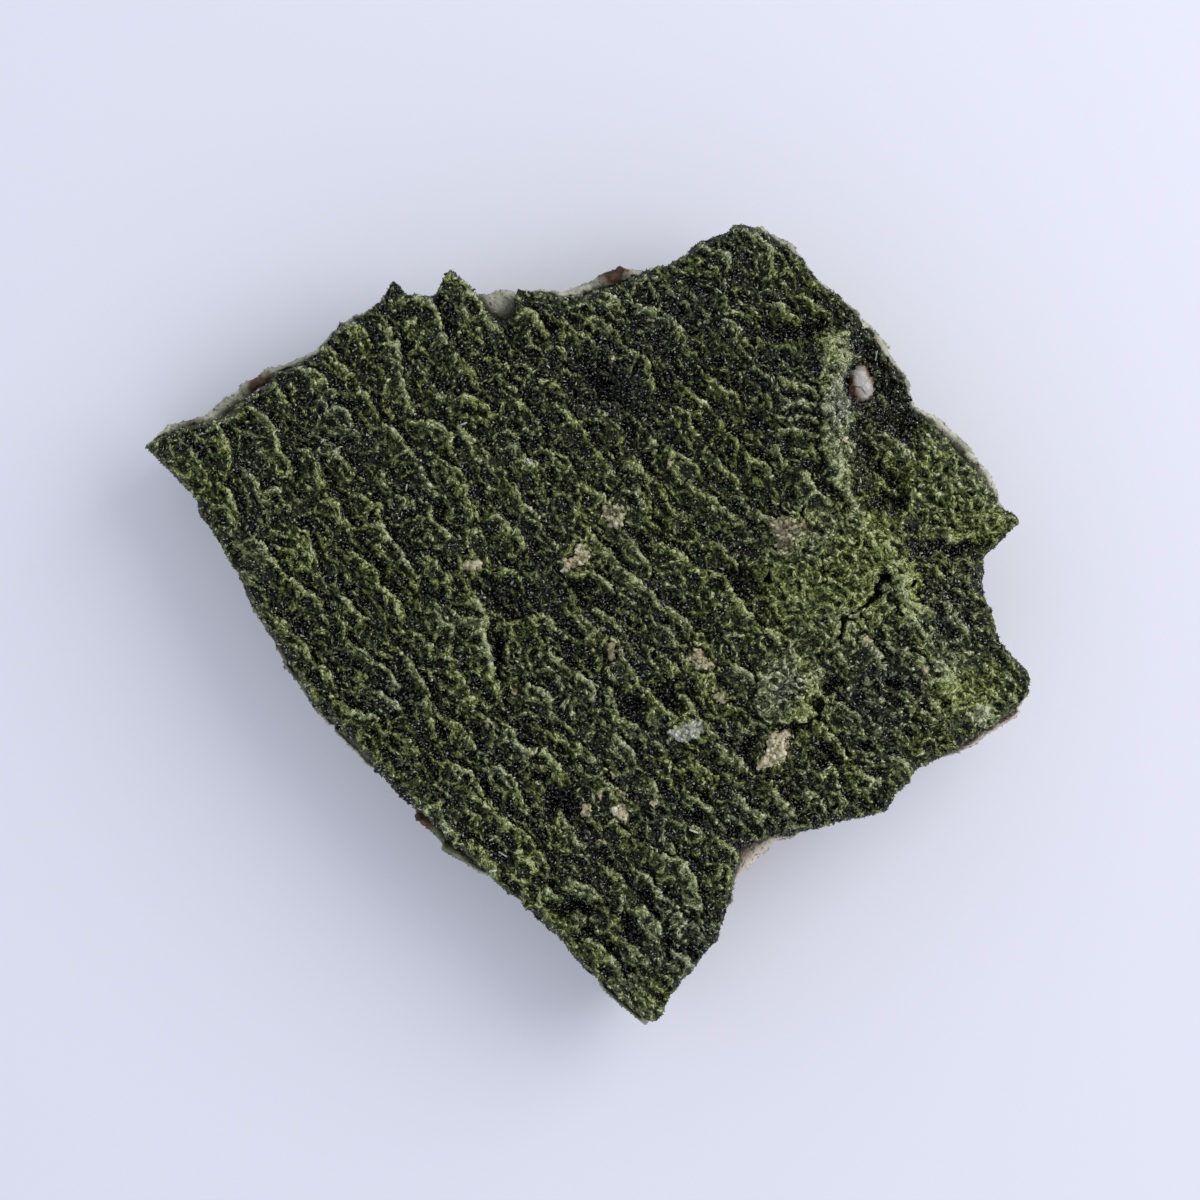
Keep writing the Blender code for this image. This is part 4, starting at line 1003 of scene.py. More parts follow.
# The fine felt is dusty and scatters light, and the ground between its crystals is duller still. Grains
# and prisms have clean faces that glint.
epidote = make_epidote("epidote_fine_felt", 0.3, 0.65, 0.22, 0.24)
epidote_ground = make_epidote("epidote_felt_ground", 0.4, 0.7, 0.1, 0.62)
epidote_glassy = make_epidote("epidote_clean_faces", 0.12, 0.3, 0.5, 0.2)
print("epidote nodes", len(epidote.node_tree.nodes))

# %% Crust piece
# Each vertex keeps its place on the square sheet as its UV, and the wall and underside get bands below.
band = np.arange(len(crust_vertices) - len(top))
unwrapped = np.empty((len(crust_vertices), 2))
unwrapped[:len(top), 0] = (a.ravel() + 1) / 2
unwrapped[:len(top), 1] = 0.2 + 0.8 * (b.ravel() + 1) / 2
unwrapped[len(top):, 0] = (band % len(rim_ring)) / len(rim_ring)
unwrapped[len(top):, 1] = 0.18 - 0.014 * (band // len(rim_ring))
make_piece("epidote_crust_face", crust_vertices, crust_faces, epidote_ground, "epidote", crust_tone,
           unwrapped[crust_faces.ravel()], replaced=("epidote_crust",))

# %% [markdown]
# ## The druse
#
# The crust's surface is a felt of crystals half a millimetre long. Particles or instances wouldn't reach
# the exported model, so we copy three small closed forms tens of thousands of times as plain arrays:
# a sugary grain, which is one corner of a crystal and only four triangles, a thin plate on edge, and a
# glossy prism. Grains are drawn evenly by area from the crust's triangles.

# %% Crystals as arrays
def unit(vectors):
    """Divide vectors by their length."""
    return vectors / np.maximum(np.linalg.norm(vectors, axis=-1, keepdims=True), 1e-9)


def scatter(vertices, faces, count, random):
    """Draw places on triangles by area: P = A + u (B - A) + v (C - A). Give places, normals and faces."""
    corner, first, second = vertices[faces[:, 0]], vertices[faces[:, 1]], vertices[faces[:, 2]]
    cross = np.cross(first - corner, second - corner)
    area = np.linalg.norm(cross, axis=1) / 2
    total = np.cumsum(area)
    chosen = np.searchsorted(total, (np.arange(count) + random.random(count)) / count * total[-1])
    chosen = np.minimum(chosen, len(faces) - 1)
    u, v = random.random((2, count))
    swap = u + v > 1.0
    u, v = np.where(swap, 1 - u, u)[:, None], np.where(swap, 1 - v, v)[:, None]
    place = corner[chosen] + u * (first - corner)[chosen] + v * (second - corner)[chosen]
    return place, unit(cross[chosen]), chosen


def copies(form, faces, places, axes, widths, lengths, random, facing=None):
    """Copy a form to every place: P + w (x U + y V) + l z W, where V faces a given way or a random one."""
    if facing is None:
        facing = random.normal(size=places.shape)
    side = unit(np.cross(facing, axes))
    other = np.cross(axes, side)
    vertices = (
        places[:, None, :]
        + form[None, :, 0, None] * widths[:, 0, None, None] * side[:, None, :]
        + form[None, :, 1, None] * widths[:, 1, None, None] * other[:, None, :]
        + form[None, :, 2, None] * lengths[:, None, None] * axes[:, None, :]
    )
    shifts = np.arange(len(places))[:, None, None] * len(form)
    return vertices.reshape(-1, 3), (faces[None] + shifts).reshape(-1, 3)


def cell_map(count, corners):
    """UV of copies: each copy has its own cell of a square grid, in which its corners keep their places."""
    side = math.ceil(math.sqrt(count))
    cell = np.stack((np.arange(count) % side, np.arange(count) // side), axis=1)
    return ((cell[:, None, :] + 0.1 + 0.8 * corners[None]) / side).reshape(-1, 2)


# Grain: the corner of a crystal, three faces that meet in a point, with its base in the ground.
third = np.arange(3) * 2 * math.pi / 3
GRAIN = np.concatenate((
    np.stack((0.56 * np.cos(third), 0.56 * np.sin(third), np.full(3, -0.35)), axis=1),
    [[0.08, 0.05, 0.65]],
))
GRAIN_FACES = np.array([(0, 2, 1), (0, 1, 3), (1, 2, 3), (2, 0, 3)])
GRAIN_CORNERS = np.array([
    (0.5 * (face % 2) + x, 0.5 * (face // 2) + y)
    for face in range(4) for x, y in ((0, 0), (0.45, 0), (0, 0.45))
])

# Plate: a thin wedge on edge, whose upper edge is a little shorter and lies askew.
PLATE = np.array([
    (-0.5, -0.5, -0.4), (0.5, -0.5, -0.4), (0.5, 0.5, -0.4), (-0.5, 0.5, -0.4),
    (-0.36, 0.12, 0.62), (0.4, -0.1, 0.55),
])
PLATE_FACES = np.array([
    (0, 2, 1), (0, 3, 2), (0, 1, 5), (0, 5, 4), (2, 3, 4), (2, 4, 5), (3, 0, 4), (1, 2, 5),
])
PLATE_CORNERS = np.array([
    (0.33 * (face % 3) + x, 0.33 * (face // 3) + y)
    for face in range(8) for x, y in ((0, 0), (0.3, 0), (0, 0.3))
])

# Prism: a flat column with a slanted chisel end.
PRISM = np.array([
    (-0.5, -0.5, -0.3), (0.5, -0.5, -0.3), (0.5, 0.5, -0.3), (-0.5, 0.5, -0.3),
    (-0.42, -0.45, 0.8), (0.42, -0.4, 0.95), (0.4, 0.42, 1.0), (-0.4, 0.4, 0.82),
])
PRISM_FACES = np.array([
    (0, 2, 1), (0, 3, 2), (4, 5, 6), (4, 6, 7), (0, 1, 5), (0, 5, 4), (1, 2, 6), (1, 6, 5),
    (2, 3, 7), (2, 7, 6), (3, 0, 4), (3, 4, 7),
])
low_half = ((0, 0), (1, 0), (1, 1))
high_half = ((0, 0), (1, 1), (0, 1))
PRISM_CORNERS = np.array([
    ((face // 2 % 3 + 0.05 + 0.9 * x) / 3, (face // 6 + 0.05 + 0.9 * y) / 2)
    for face in range(12) for x, y in (low_half if face % 2 == 0 else high_half)
])
print("grain", GRAIN.shape, "plate", PLATE.shape, "prism", PRISM.shape)

# %% Sugary grains
GRAIN_COUNT = 49500
# A share of the grains gets a lighter tone as a painted glint; they are not turned towards the light.
PAINTED_GLINT_SHARE = 0.06    # grains that happen to face the light
PAINTED_GLINT_TONE = 0.6

random = np.random.default_rng(SEED + 60)
seen_faces = crust_faces[:len(faces) + 2 * len(rim_ring) * WALL_ROWS]
place, normal, chosen = scatter(crust_vertices, seen_faces, GRAIN_COUNT, random)
tone = crust_tone[seen_faces[chosen]].mean(axis=1)
axes = unit(0.8 * normal + (0.12, 0.12, 0.2) + random.normal(scale=0.5, size=place.shape))
size = random.uniform(0.28, 0.52, (GRAIN_COUNT, 2))
long = random.uniform(0.35, 0.6, GRAIN_COUNT)
vertices, triangles = copies(GRAIN, GRAIN_FACES, place, axes, size, long, random)
painted_glints = PAINTED_GLINT_TONE * (random.random(GRAIN_COUNT) < PAINTED_GLINT_SHARE)
grain_tone = np.clip(tone + painted_glints + random.normal(scale=0.22, size=GRAIN_COUNT), 0.0, 1.0)
make_piece("epidote_sugary_grains", vertices, triangles, epidote_glassy, "epidote",
           np.repeat(grain_tone, len(GRAIN)), cell_map(GRAIN_COUNT, GRAIN_CORNERS))

# %% [markdown]
# The crests are the brightest thing on the specimen: thin crumpled walls, a third of a millimetre thick.
# Plates are drawn where the relief stands out, and each is turned along its crest. The direction across
# a crest comes from the structure tensor, the blurred products of the slopes: half of the angle whose
# tangent is 2 sx sy / (sx^2 - sy^2).

# %% Plates on the crests
PLATE_COUNT = 48200

slope_y, slope_x = np.gradient(near_relief, RASTER)
across = 0.5 * np.arctan2(2 * blur(slope_x * slope_y, 0.3), blur(slope_x ** 2, 0.3) - blur(slope_y ** 2, 0.3))
stands_out = np.clip((near_relief - 0.1) / 0.9, 0.0, 1.0) ** 1.5 * (to_edge > 0.25)
total = np.cumsum(stands_out.ravel())
drawn_share = (np.arange(PLATE_COUNT) + random.random(PLATE_COUNT)) / PLATE_COUNT
picked = np.searchsorted(total, drawn_share * total[-1])
spot_x = plan_x.ravel()[picked] + random.uniform(-0.5, 0.5, PLATE_COUNT) * RASTER
spot_y = plan_y.ravel()[picked] + random.uniform(-0.5, 0.5, PLATE_COUNT) * RASTER
turned = across.ravel()[picked] + random.normal(scale=0.45, size=PLATE_COUNT)
facing = np.stack((np.cos(turned), np.sin(turned), np.zeros(PLATE_COUNT)), axis=1)
axes = unit(np.array((0.18, 0.16, 1.0)) + random.normal(scale=0.26, size=facing.shape))
place = leaned(spot_x, spot_y)
glow = sample(crest_glow, spot_x, spot_y)
size = np.stack((random.uniform(0.36, 0.72, PLATE_COUNT), random.uniform(0.18, 0.32, PLATE_COUNT)), axis=1)
long = random.uniform(0.5, 0.95, PLATE_COUNT) * (1.0 + 0.3 * glow)
plate_tone = sample(tone_map, spot_x, spot_y) + random.normal(scale=0.18, size=PLATE_COUNT)
# Five percent of the plates get a lighter tone as a painted glint. Each plate's foot is darker as painted
# shade and its upper edge lighter as painted light.
plate_tone += 0.4 * (random.random(PLATE_COUNT) < 0.05)
corner_tone_lit_and_shaded = plate_tone[:, None] + np.array((-0.1, -0.1, -0.1, -0.1, 0.12, 0.12))
southern = place[:, 1] < np.median(place[:, 1])
for name, half in (("south", southern), ("north", ~southern)):
    vertices, triangles = copies(PLATE, PLATE_FACES, place[half], axes[half], size[half], long[half], random,
                                 facing[half])
    make_piece(f"epidote_crest_plates_{name}", vertices, triangles, epidote, "epidote",
               np.clip(corner_tone_lit_and_shaded[half], 0.0, 1.0).ravel(), cell_map(int(half.sum()), PLATE_CORNERS))

# %% Prisms in the pits
PIT_PRISMS = 7000        # at most
PRISM_CANDIDATES = 60000

candidates, normal, chosen = scatter(crust_vertices, crust_faces[:len(faces)], PRISM_CANDIDATES, random)
tone = crust_tone[crust_faces[chosen]].mean(axis=1)
inside = sample(to_edge, candidates[:, 0], candidates[:, 1]) > 1.2
share = np.clip((0.2 - tone) * 2.0, 0.0, 0.35) * inside
dark = np.flatnonzero(random.random(len(tone)) < share)[:PIT_PRISMS]
pit_axes = unit(0.5 * normal[dark] + (0.2, 0.2, 0.4) + random.normal(scale=0.6, size=(len(dark), 3)))
broad_side = random.uniform(0.25, 0.6, len(dark))
sizes = np.stack((broad_side, broad_side * random.uniform(0.4, 0.8, len(dark))), axis=1)
vertices, triangles = copies(PRISM, PRISM_FACES, candidates[dark], pit_axes, sizes,
                             random.uniform(0.5, 1.3, len(dark)), random)
pit_tone = np.clip(tone[dark] * 0.8 + random.normal(scale=0.05, size=len(dark)), 0, 1)
make_piece("epidote_pit_prisms", vertices, triangles, epidote_glassy, "epidote",
           np.repeat(pit_tone, len(PRISM)), cell_map(len(dark), PRISM_CORNERS))

# %% [markdown]
# ## Host rock
#
# The slab under the crystals is pale altered rock, broken by a hammer. Broken rock is made of chips:
# flat facets that meet in steps. Cell noise gives each cell its own tilted plane, at two sizes, and the
# solid's own rings give the large form. The rim shows from above as a thin pale band with rust stains.

# %% Rock shape
ROCK_ANGLES = 660
LIP_RISE = 3.0


def facet_noise(count, seed):
    """Noise round the rock that runs straight between a few seeded values, as flat broken facets do."""
    values = np.random.default_rng(seed).uniform(-1, 1, ROCK_FACETS)
    places = np.arange(count) * ROCK_FACETS / count
    return np.interp(places, np.arange(ROCK_FACETS + 1), np.append(values, values[0]))


def chips(points, size, depth, seed):
    """Tilted planes in cells: depth times (offset from the cell's point dotted with its random slope)."""
    nearest, values = cell_noise(points, size, seed)[2:]
    slope = (values[..., :3] - 0.5) * 2.0 / size
    return depth * (((points - nearest) * slope).sum(axis=-1) + values[..., 3] - 0.5)


spin = np.linspace(-math.pi, math.pi, ROCK_ANGLES, endpoint=False)
rock_rings = []
shared_inset = np.maximum(rims, OVERHANG) + SHARED_INSET
for share in (0.2, 0.5, 0.8, 0.95, 1.0):
    reach = radius_round(edge, shared_inset, spin) * share
    level = low_ground(reach * np.cos(spin), reach * np.sin(spin)) - CRUST_THICKNESS
    rock_rings.append(np.stack((reach, level), axis=1))
shoulder_inset = np.where(rims > RIM_SHOWS, 0.0, OVERHANG)
shoulder = radius_round(edge, shoulder_inset, spin)
shared_reach = radius_round(edge, shared_inset, spin)
edge_level = low_ground(shared_reach * np.cos(spin), shared_reach * np.sin(spin)) - CRUST_THICKNESS
corner_angle = np.arctan2(edge[:, 1], edge[:, 0])
order = np.argsort(corner_angle)
bare = np.interp(spin, corner_angle[order], smooth_step(rims / 1.2)[order], period=2 * math.pi)

# Where rock shows, it stands up as a lip outside the crust's wall: part of the rim's width, share of rise.
for part_in, rise_share in ((1.25, 0.0), (0.95, 0.35), (0.75, 0.85), (0.45, 1.0), (0.2, 0.95)):
    reach = radius_round(edge, np.where(rims > RIM_SHOWS, rims * part_in, OVERHANG * (1.0 + part_in)), spin)
    rock_rings.append(np.stack((reach, edge_level - 0.3 + LIP_RISE * rise_share * bare), axis=1))
side_levels = [edge_level - 0.4 + 0.8 * LIP_RISE * bare]
side_reaches = [shoulder]
for level, (distance, variation, share) in enumerate(ROCK_SIDE):
    stray = facet_noise(len(edge), SEED + 10 + level)
    heights = share * (1.0 + 0.18 * facet_noise(len(edge), SEED + 20 + level))
    height = np.interp(spin, corner_angle[order], heights[order], period=2 * math.pi) * (edge_level - 0.4)
    side_levels.append(height)
    side_reaches.append(radius_round(edge, distance + OVERHANG + variation * (1.0 + stray) / 2, spin))
for upper in range(len(side_levels) - 1):
    steps = (12, 14, 10, 4)[upper]
    for step in range(steps):
        share = step / steps
        rock_rings.append(np.stack((
            side_reaches[upper] * (1 - share) + side_reaches[upper + 1] * share,
            side_levels[upper] * (1 - share) + side_levels[upper + 1] * share,
        ), axis=1))
for share in (1.0, 0.7, 0.35):
    rock_rings.append(np.stack((side_reaches[-1] * share, np.zeros(ROCK_ANGLES)), axis=1))
rock_rings = np.stack(rock_rings)
rock = np.stack((rock_rings[..., 0] * np.cos(spin), rock_rings[..., 0] * np.sin(spin), rock_rings[..., 1]),
                axis=-1)
print("rock rings", rock.shape)

# %% Rock chips and closing
BARE_FROM = 4        # ring at which the rock comes out from under the crust
open_ring = (np.arange(len(rock)) >= BARE_FROM)[:, None] & (rock[..., 2] > 0.01)
strength = open_ring * smooth_step(rock[..., 2] / 3.0)
out = chips(rock, 9.0, 1.3, 71) + chips(rock, 3.4, 0.55, 72) + chips(rock, 1.3, 0.22, 73)
out += 0.1 * smooth_noise(rock, 0.7, 74)
rise = 0.35 * chips(rock, 2.6, 0.6, 75) + 0.22 * smooth_noise(rock, 0.9, 76)
outward = np.stack((np.cos(spin), np.sin(spin)), axis=1)
near_top = smooth_step((rock[..., 2] - edge_level + 4.0) / 4.0)
out = np.clip(out, -0.5 - 1.5 * (1.0 - near_top), 0.3 + 0.5 * (1.0 - near_top))
rock[..., :2] += outward[None] * (out * strength)[..., None]
rock[..., 2] += rise * strength
rock[..., 2] = np.maximum(rock[..., 2], 0.0)
rock_vertices = np.concatenate((rock.reshape(-1, 3), [[0.0, 0.0, low_ground(0.0, 0.0) - CRUST_THICKNESS],
                                                      [0.0, 0.0, 0.0]]))
rows = np.arange(rock.shape[0] * ROCK_ANGLES).reshape(rock.shape[0], ROCK_ANGLES)
top_middle, base_middle = len(rock_vertices) - 2, len(rock_vertices) - 1
rock_faces = np.concatenate(
    [np.stack((np.full(ROCK_ANGLES, top_middle), rows[0], np.roll(rows[0], -1)), axis=1)]
    + [ring_strip(upper, lower) for upper, lower in zip(rows[:-1], rows[1:])]
    + [np.stack((rows[-1], np.full(ROCK_ANGLES, base_middle), np.roll(rows[-1], -1)), axis=1)]
)
print("rock", len(rock_faces), "triangles, base", round(float(side_reaches[-1].min()), 1), "mm at least")


# %% Rock stains and material
# Stain centre x, y, radius and strength, in millimetres.
RUST = ((-49.2, 35.6, 2.6, 0.9), (-59.6, 30.2, 2.6, 0.6), (4.1, 53.2, 2.8, 0.9), (-25.6, -30.0, 3.2, 0.8),
        (-31.0, 47.5, 2.5, 0.4), (8.0, -57.0, 6.0, 0.3))
PINK = ((60.0, -15.0, 9.0, 0.9), (49.0, -24.0, 8.0, 0.9), (36.0, -30.5, 8.0, 0.9), (25.7, -35.5, 5.0, 1.0),
        (21.0, -45.0, 7.0, 0.7), (66.0, -10.0, 4.0, 0.7))
OLIVE = ((-24.0, -32.0, 9.0, 0.8), (-45.0, -6.0, 16.0, 0.6), (5.0, -57.0, 8.0, 0.6))


def stain(points, places):
    """Strongest of the places at each point: strength times exp(-(distance / radius)^2)."""
    return np.max([power * np.exp(-((points[:, 0] - x) ** 2 + (points[:, 1] - y) ** 2) / size ** 2)
                   for x, y, size, power in places], axis=0)


def make_rock_material():
    """Dull altered rock: pale grey-green with dark specks, with rust, pink and olive where it is stained."""
    material, tree, output = new_material("altered_host_rock")
    place = add_node(tree, "ShaderNodeTexCoord").outputs["Object"]
    cloud = add_node(tree, "ShaderNodeTexNoise", {"Scale": 1 / 0.004, "Detail": 8.0, "Roughness": 0.75},
                     {"Vector": place})
    base = add_ramp(tree, cloud.outputs["Fac"], ((0.3, "#6f7463"), (0.48, "#a5a693"), (0.62, "#cfccb8")))
    colour = base.outputs["Color"]
    for name, code, dark_code in (("olive", "#84826a", "#5d5f45"), ("pink", "#d6cdbf", "#b3a392"),
                                  ("rust", "#5e432d", "#2c1d12")):
        amount = add_node(tree, "ShaderNodeAttribute", attribute_name=name)
        wander = add_node(tree, "ShaderNodeTexNoise", {"Scale": 1 / 0.0022, "Detail": 4.0}, {"Vector": place})
        edge_mix = add_node(tree, "ShaderNodeMath", {1: 0.9},
                            {0: wander.outputs["Fac"], 2: amount.outputs["Fac"]}, operation="MULTIPLY_ADD")
        share = add_node(tree, "ShaderNodeMapRange", {"From Min": 0.75, "From Max": 1.05},
                         {"Value": edge_mix.outputs["Value"]})
        two = add_ramp(tree, wander.outputs["Fac"], ((0.35, dark_code), (0.6, code)))
        mix = add_node(tree, "ShaderNodeMix", {},
                       {0: share.outputs["Result"], 6: colour, 7: two.outputs["Color"]}, data_type="RGBA")
        colour = mix.outputs[2]
    # Dark green specks, one in each cell of 1.1 mm: epidote scattered through the rock.
    specks = add_node(tree, "ShaderNodeTexVoronoi", {"Scale": 1 / 0.0011}, {"Vector": place})
    dots = add_node(tree, "ShaderNodeMapRange",
                    {"From Min": 0.18, "From Max": 0.3, "To Min": 0.55, "To Max": 0.0},
                    {"Value": specks.outputs["Distance"]})
    speckled = add_node(tree, "ShaderNodeMix", {7: srgb("#3a4128")},
                        {0: dots.outputs["Result"], 6: colour}, data_type="RGBA")
    end_material(tree, output, place, (0.0003, 4.0), (0.6, 0.0002), {"Roughness": 0.85, "IOR": 1.5},
                 {"Base Color": speckled.outputs[2]})
    return material


# Blunt crumbs of rock stand on the bare lip, on the rings from the lip's foot to its outer side.
LIP_CRUMBS = 3200
LIP_RINGS = (6, 16)
ring_of, spoke_of = rock_faces[:, 0] // ROCK_ANGLES, rock_faces[:, 0] % ROCK_ANGLES
lip = rock_faces[(ring_of >= LIP_RINGS[0]) & (ring_of <= LIP_RINGS[1]) & (bare[spoke_of] > 0.25)]
place, normal, chosen = scatter(rock_vertices, lip, LIP_CRUMBS, random)
axes = unit(0.5 * normal + (0.1, 0.1, 0.5) + random.normal(scale=0.5, size=place.shape))
size = random.uniform(0.3, 0.75, (LIP_CRUMBS, 2))
long = random.uniform(0.25, 0.55, LIP_CRUMBS)
crumbs, crumb_faces = copies(GRAIN, GRAIN_FACES, place, axes, size, long, random)
rock_faces = np.concatenate((rock_faces, crumb_faces + len(rock_vertices)))
rock_vertices = np.concatenate((rock_vertices, crumbs))
rock_piece = make_piece("host_rock_face", rock_vertices, rock_faces, make_rock_material(), "host_rock",
                        replaced=("host_rock",))
# Stains fade downward, as water leaves them under the crust's edge.
fading = smooth_step((rock_vertices[:, 2] - 2.0) / 9.0)
for name, places in (("rust", RUST), ("pink", PINK), ("olive", OLIVE)):
    weights = (stain(rock_vertices, places) * fading).astype(np.float32)
    rock_piece.data.attributes.new(name, "FLOAT", "POINT").data.foreach_set("value", weights)
    print(name, "share of the rock", round(float((weights > 0.3).mean()), 2))

# %% [markdown]
# ## Pale crystals
#
# The pale crystals are feldspar, cream and porous, and quartz, milky glass. None shows neat crystal
# faces: the feldspar is crumbly and breaks into small blocks, and the quartz is broken in flat faces with
# rust at its root. Both let a little light in, which a noise of clouds under the tone suggests.

# %% Pale materials
def make_pale(name, stops, roughness, ior, clear):
    """Pale crystal: cloudy colour from noise added to the tone. clear is its share of transmission."""
    material, tree, output = new_material(name)
    place = add_node(tree, "ShaderNodeTexCoord").outputs["Object"]
    tone = add_node(tree, "ShaderNodeAttribute", attribute_name="tone")
    cloud = add_node(tree, "ShaderNodeTexNoise", {"Scale": 1 / 0.0008, "Detail": 4.0}, {"Vector": place})
    mixed = add_node(tree, "ShaderNodeMath", {1: 0.5}, {0: cloud.outputs["Fac"], 2: tone.outputs["Fac"]},
                     operation="MULTIPLY_ADD")
    centred = add_node(tree, "ShaderNodeMath", {1: 0.25}, {0: mixed.outputs["Value"]}, operation="SUBTRACT")
    colour = add_ramp(tree, centred.outputs["Value"], stops)
    end_material(tree, output, place, (0.00025, 2.0), (0.4, 0.0001),
                 {"Roughness": roughness, "IOR": ior, "Transmission Weight": clear},
                 {"Base Color": colour.outputs["Color"]})
    return material


# Feldspar has a pearly, slightly dusty face; quartz is glass with milky clouds and a rusty root.
feldspar = make_pale("feldspar_cream", (
    (0.05, "#4b4833"), (0.35, "#948d6c"), (0.65, "#c6be9d"), (1.0, "#ebe6d2"),
), 0.5, 1.53, 0.0)
quartz = make_pale("quartz_milky", (
    (0.1, "#1c1e16"), (0.27, "#694736"), (0.45, "#9c8b80"), (0.66, "#bfbbb4"), (1.0, "#f2f1eb"),
), 0.14, 1.544, 0.3)
quartz_clear = make_pale("quartz_greenish", (
    (0.05, "#4a4d3c"), (0.3, "#7e8472"), (0.6, "#b8bcab"), (1.0, "#eceee4"),
), 0.2, 1.544, 0.2)
print("pale materials", feldspar.name, quartz.name, quartz_clear.name)

# %% [markdown]
# The larger pale crystals are crumbly lumps with a ragged outline, each drawn as seen from above. Rings
# run from the middle to the outline. The top is a dome, (1 - share^4)^(1/2), broken by cell noise, and
# a root goes down into the crust.

# %% Pale lumps
# Outlines of the pale crystals, in millimetres from each crystal's centre: rise, crumbling, tone, corners.
PALE_OUTLINES = {
    "quartz_crystal": (2.6, 0.3, 0.72, (
        (-2.0, 1.2), (-1.0, 3.3), (0.8, 3.3), (1.8, 1.0), (2.0, -1.0), (1.0, -2.4), (-0.7, -2.5),
        (-2.0, -0.9),
    )),
    "feldspar_crystal_large": (1.7, 0.5, 0.55, (
        (-2.3, -2.0), (-1.3, -2.8), (-0.3, -2.1), (0.8, -1.8), (1.9, -1.0), (2.0, 0.8), (2.3, 2.5),
        (1.6, 3.1), (0.7, 2.6), (-0.3, 2.5), (-0.9, 1.3), (-0.7, -0.2), (-1.5, -1.0),
    )),
    "feldspar_crystal_hump": (1.2, 0.5, 0.26, (
        (-2.1, 2.3), (-0.4, 2.8), (0.8, 1.7), (2.3, 1.9), (2.4, 0.0), (1.5, -0.6), (0.4, -2.3),
        (-1.5, -1.3), (-1.2, 0.0), (-2.1, 1.0),
    )),
    "feldspar_crystal_north": (1.2, 0.6, 0.42, (
        (-1.5, 1.3), (-0.2, 1.5), (1.3, 1.1), (1.5, 0.0), (0.4, -1.6), (-0.8, -0.9), (-1.5, 0.0),
    )),
    "feldspar_crystal_middle": (1.3, 0.55, 0.5, (
        (-2.7, -2.3), (-2.1, -2.1), (-1.2, -0.9), (0.0, -0.9), (1.4, 0.4), (1.4, 1.3), (0.6, 2.2),
        (-0.7, 1.7), (-0.5, 0.7), (-1.3, -0.1), (-2.3, 0.0), (-2.5, -1.3),
    )),
    "feldspar_crystal_west": (1.0, 0.4, 0.5, (
        (-1.1, 0.0), (-0.2, 0.6), (1.3, 0.6), (1.6, -0.3), (0.8, -0.9), (0.0, -0.7),
    )),
    "feldspar_crystal_east": (1.1, 0.5, 0.4, (
        (-2.1, 0.2), (-1.0, 1.7), (0.2, 0.8), (0.7, -0.2), (2.0, -0.8), (1.3, -1.5), (0.0, -1.2),
        (-1.5, -0.4),
    )),
    "quartz_shard": (1.1, 0.45, 0.6, (
        (-2.3, 0.1), (-1.3, 0.8), (-0.2, 1.4), (1.3, 2.0), (2.6, 1.7), (2.6, 0.6), (2.4, -1.2),
        (1.5, -0.5), (-0.4, -1.4), (-1.3, -0.8),
    )),
    "feldspar_crystal_south": (1.0, 0.5, 0.7, (
        (-0.2, 1.3), (0.6, 1.1), (1.0, 0.2), (0.8, -1.3), (0.0, -0.8), (-0.7, -0.2), (-1.1, 0.5),
    )),
}


BROKEN_BELOW = 0.35    # lumps that crumble less than this are glass, broken in flat faces
BLOCKS = 110           # small blocks on each crumbly lump, at most


def lump(corners, rise, crumbling, seed, turns=72, rings=9):
    """Closed body over an outline: centre, rings of the dome, and a narrower root ring and centre below."""
    spin = np.linspace(-math.pi, math.pi, turns, endpoint=False)
    reach = radius_round(np.array(corners), 0.0, spin)
    share = (np.arange(1, rings + 1) / rings)[:, None]
    top_x, top_y = share * reach * np.cos(spin), share * reach * np.sin(spin)
    top_z = rise * np.sqrt(np.maximum(1.0 - share ** 4, 0.0)) * np.ones(turns)
    layers = [np.array([[0.0, 0.0, rise]]), np.stack((top_x, top_y, top_z), axis=-1).reshape(-1, 3)]
    layers.append(np.stack((0.8 * top_x[-1], 0.8 * top_y[-1], np.full(turns, -1.2)), axis=1))
    vertices = np.concatenate(layers)
    seated = vertices + (seed * 7.3, 0.0, 0.0)    # each lump reads the noise at its own place
    if crumbling < BROKEN_BELOW:
        chunk = chips(seated, 2.2, 0.42, seed) + chips(seated, 0.9, 0.08, seed + 1)
    else:
        chunk = crumbling * (1.5 * (0.42 - cell_noise(seated, 0.62, seed)[0])
                             + 0.7 * smooth_noise(seated, 0.3, seed))
    outward = unit(vertices * (1.0, 1.0, 0.6) + (0.0, 0.0, 0.5))
    vertices = vertices + outward * chunk[:, None]
    vertices = np.concatenate((vertices, [[0.0, 0.0, -1.2]]))
    ring = [1 + np.arange(turns) + turns * row for row in range(rings + 1)]
    first = np.stack((np.zeros(turns, int), ring[0], np.roll(ring[0], -1)), axis=1)
    last = np.stack((ring[-1], np.full(turns, len(vertices) - 1), np.roll(ring[-1], -1)), axis=1)
    strips = [ring_strip(upper, lower) for upper, lower in zip(ring[:-1], ring[1:])]
    return vertices, np.concatenate([first] + strips + [last]), np.append(chunk, 0.0)


def crumbled(vertices, triangles, tones, count):
    """A lump with small blocks seated on its upper faces, as feldspar breaks into blocks."""
    place, normal, chosen = scatter(vertices, triangles, 2 * count, random)
    upward = np.flatnonzero(normal[:, 2] > 0.15)[:count]
    axes = unit(normal[upward] + random.normal(scale=0.45, size=(len(upward), 3)))
    size = random.uniform(0.3, 0.75, (len(upward), 2))
    blocks, block_faces = copies(PLATE, PLATE_FACES, place[upward], axes, size,
                                 random.uniform(0.25, 0.6, len(upward)), random)
    block_tones = tones[triangles[chosen[upward], 0]] + random.normal(scale=0.16, size=len(upward))
    return (np.concatenate((vertices, blocks)), np.concatenate((triangles, block_faces + len(vertices))),
            np.concatenate((tones, np.repeat(block_tones, len(PLATE)))))


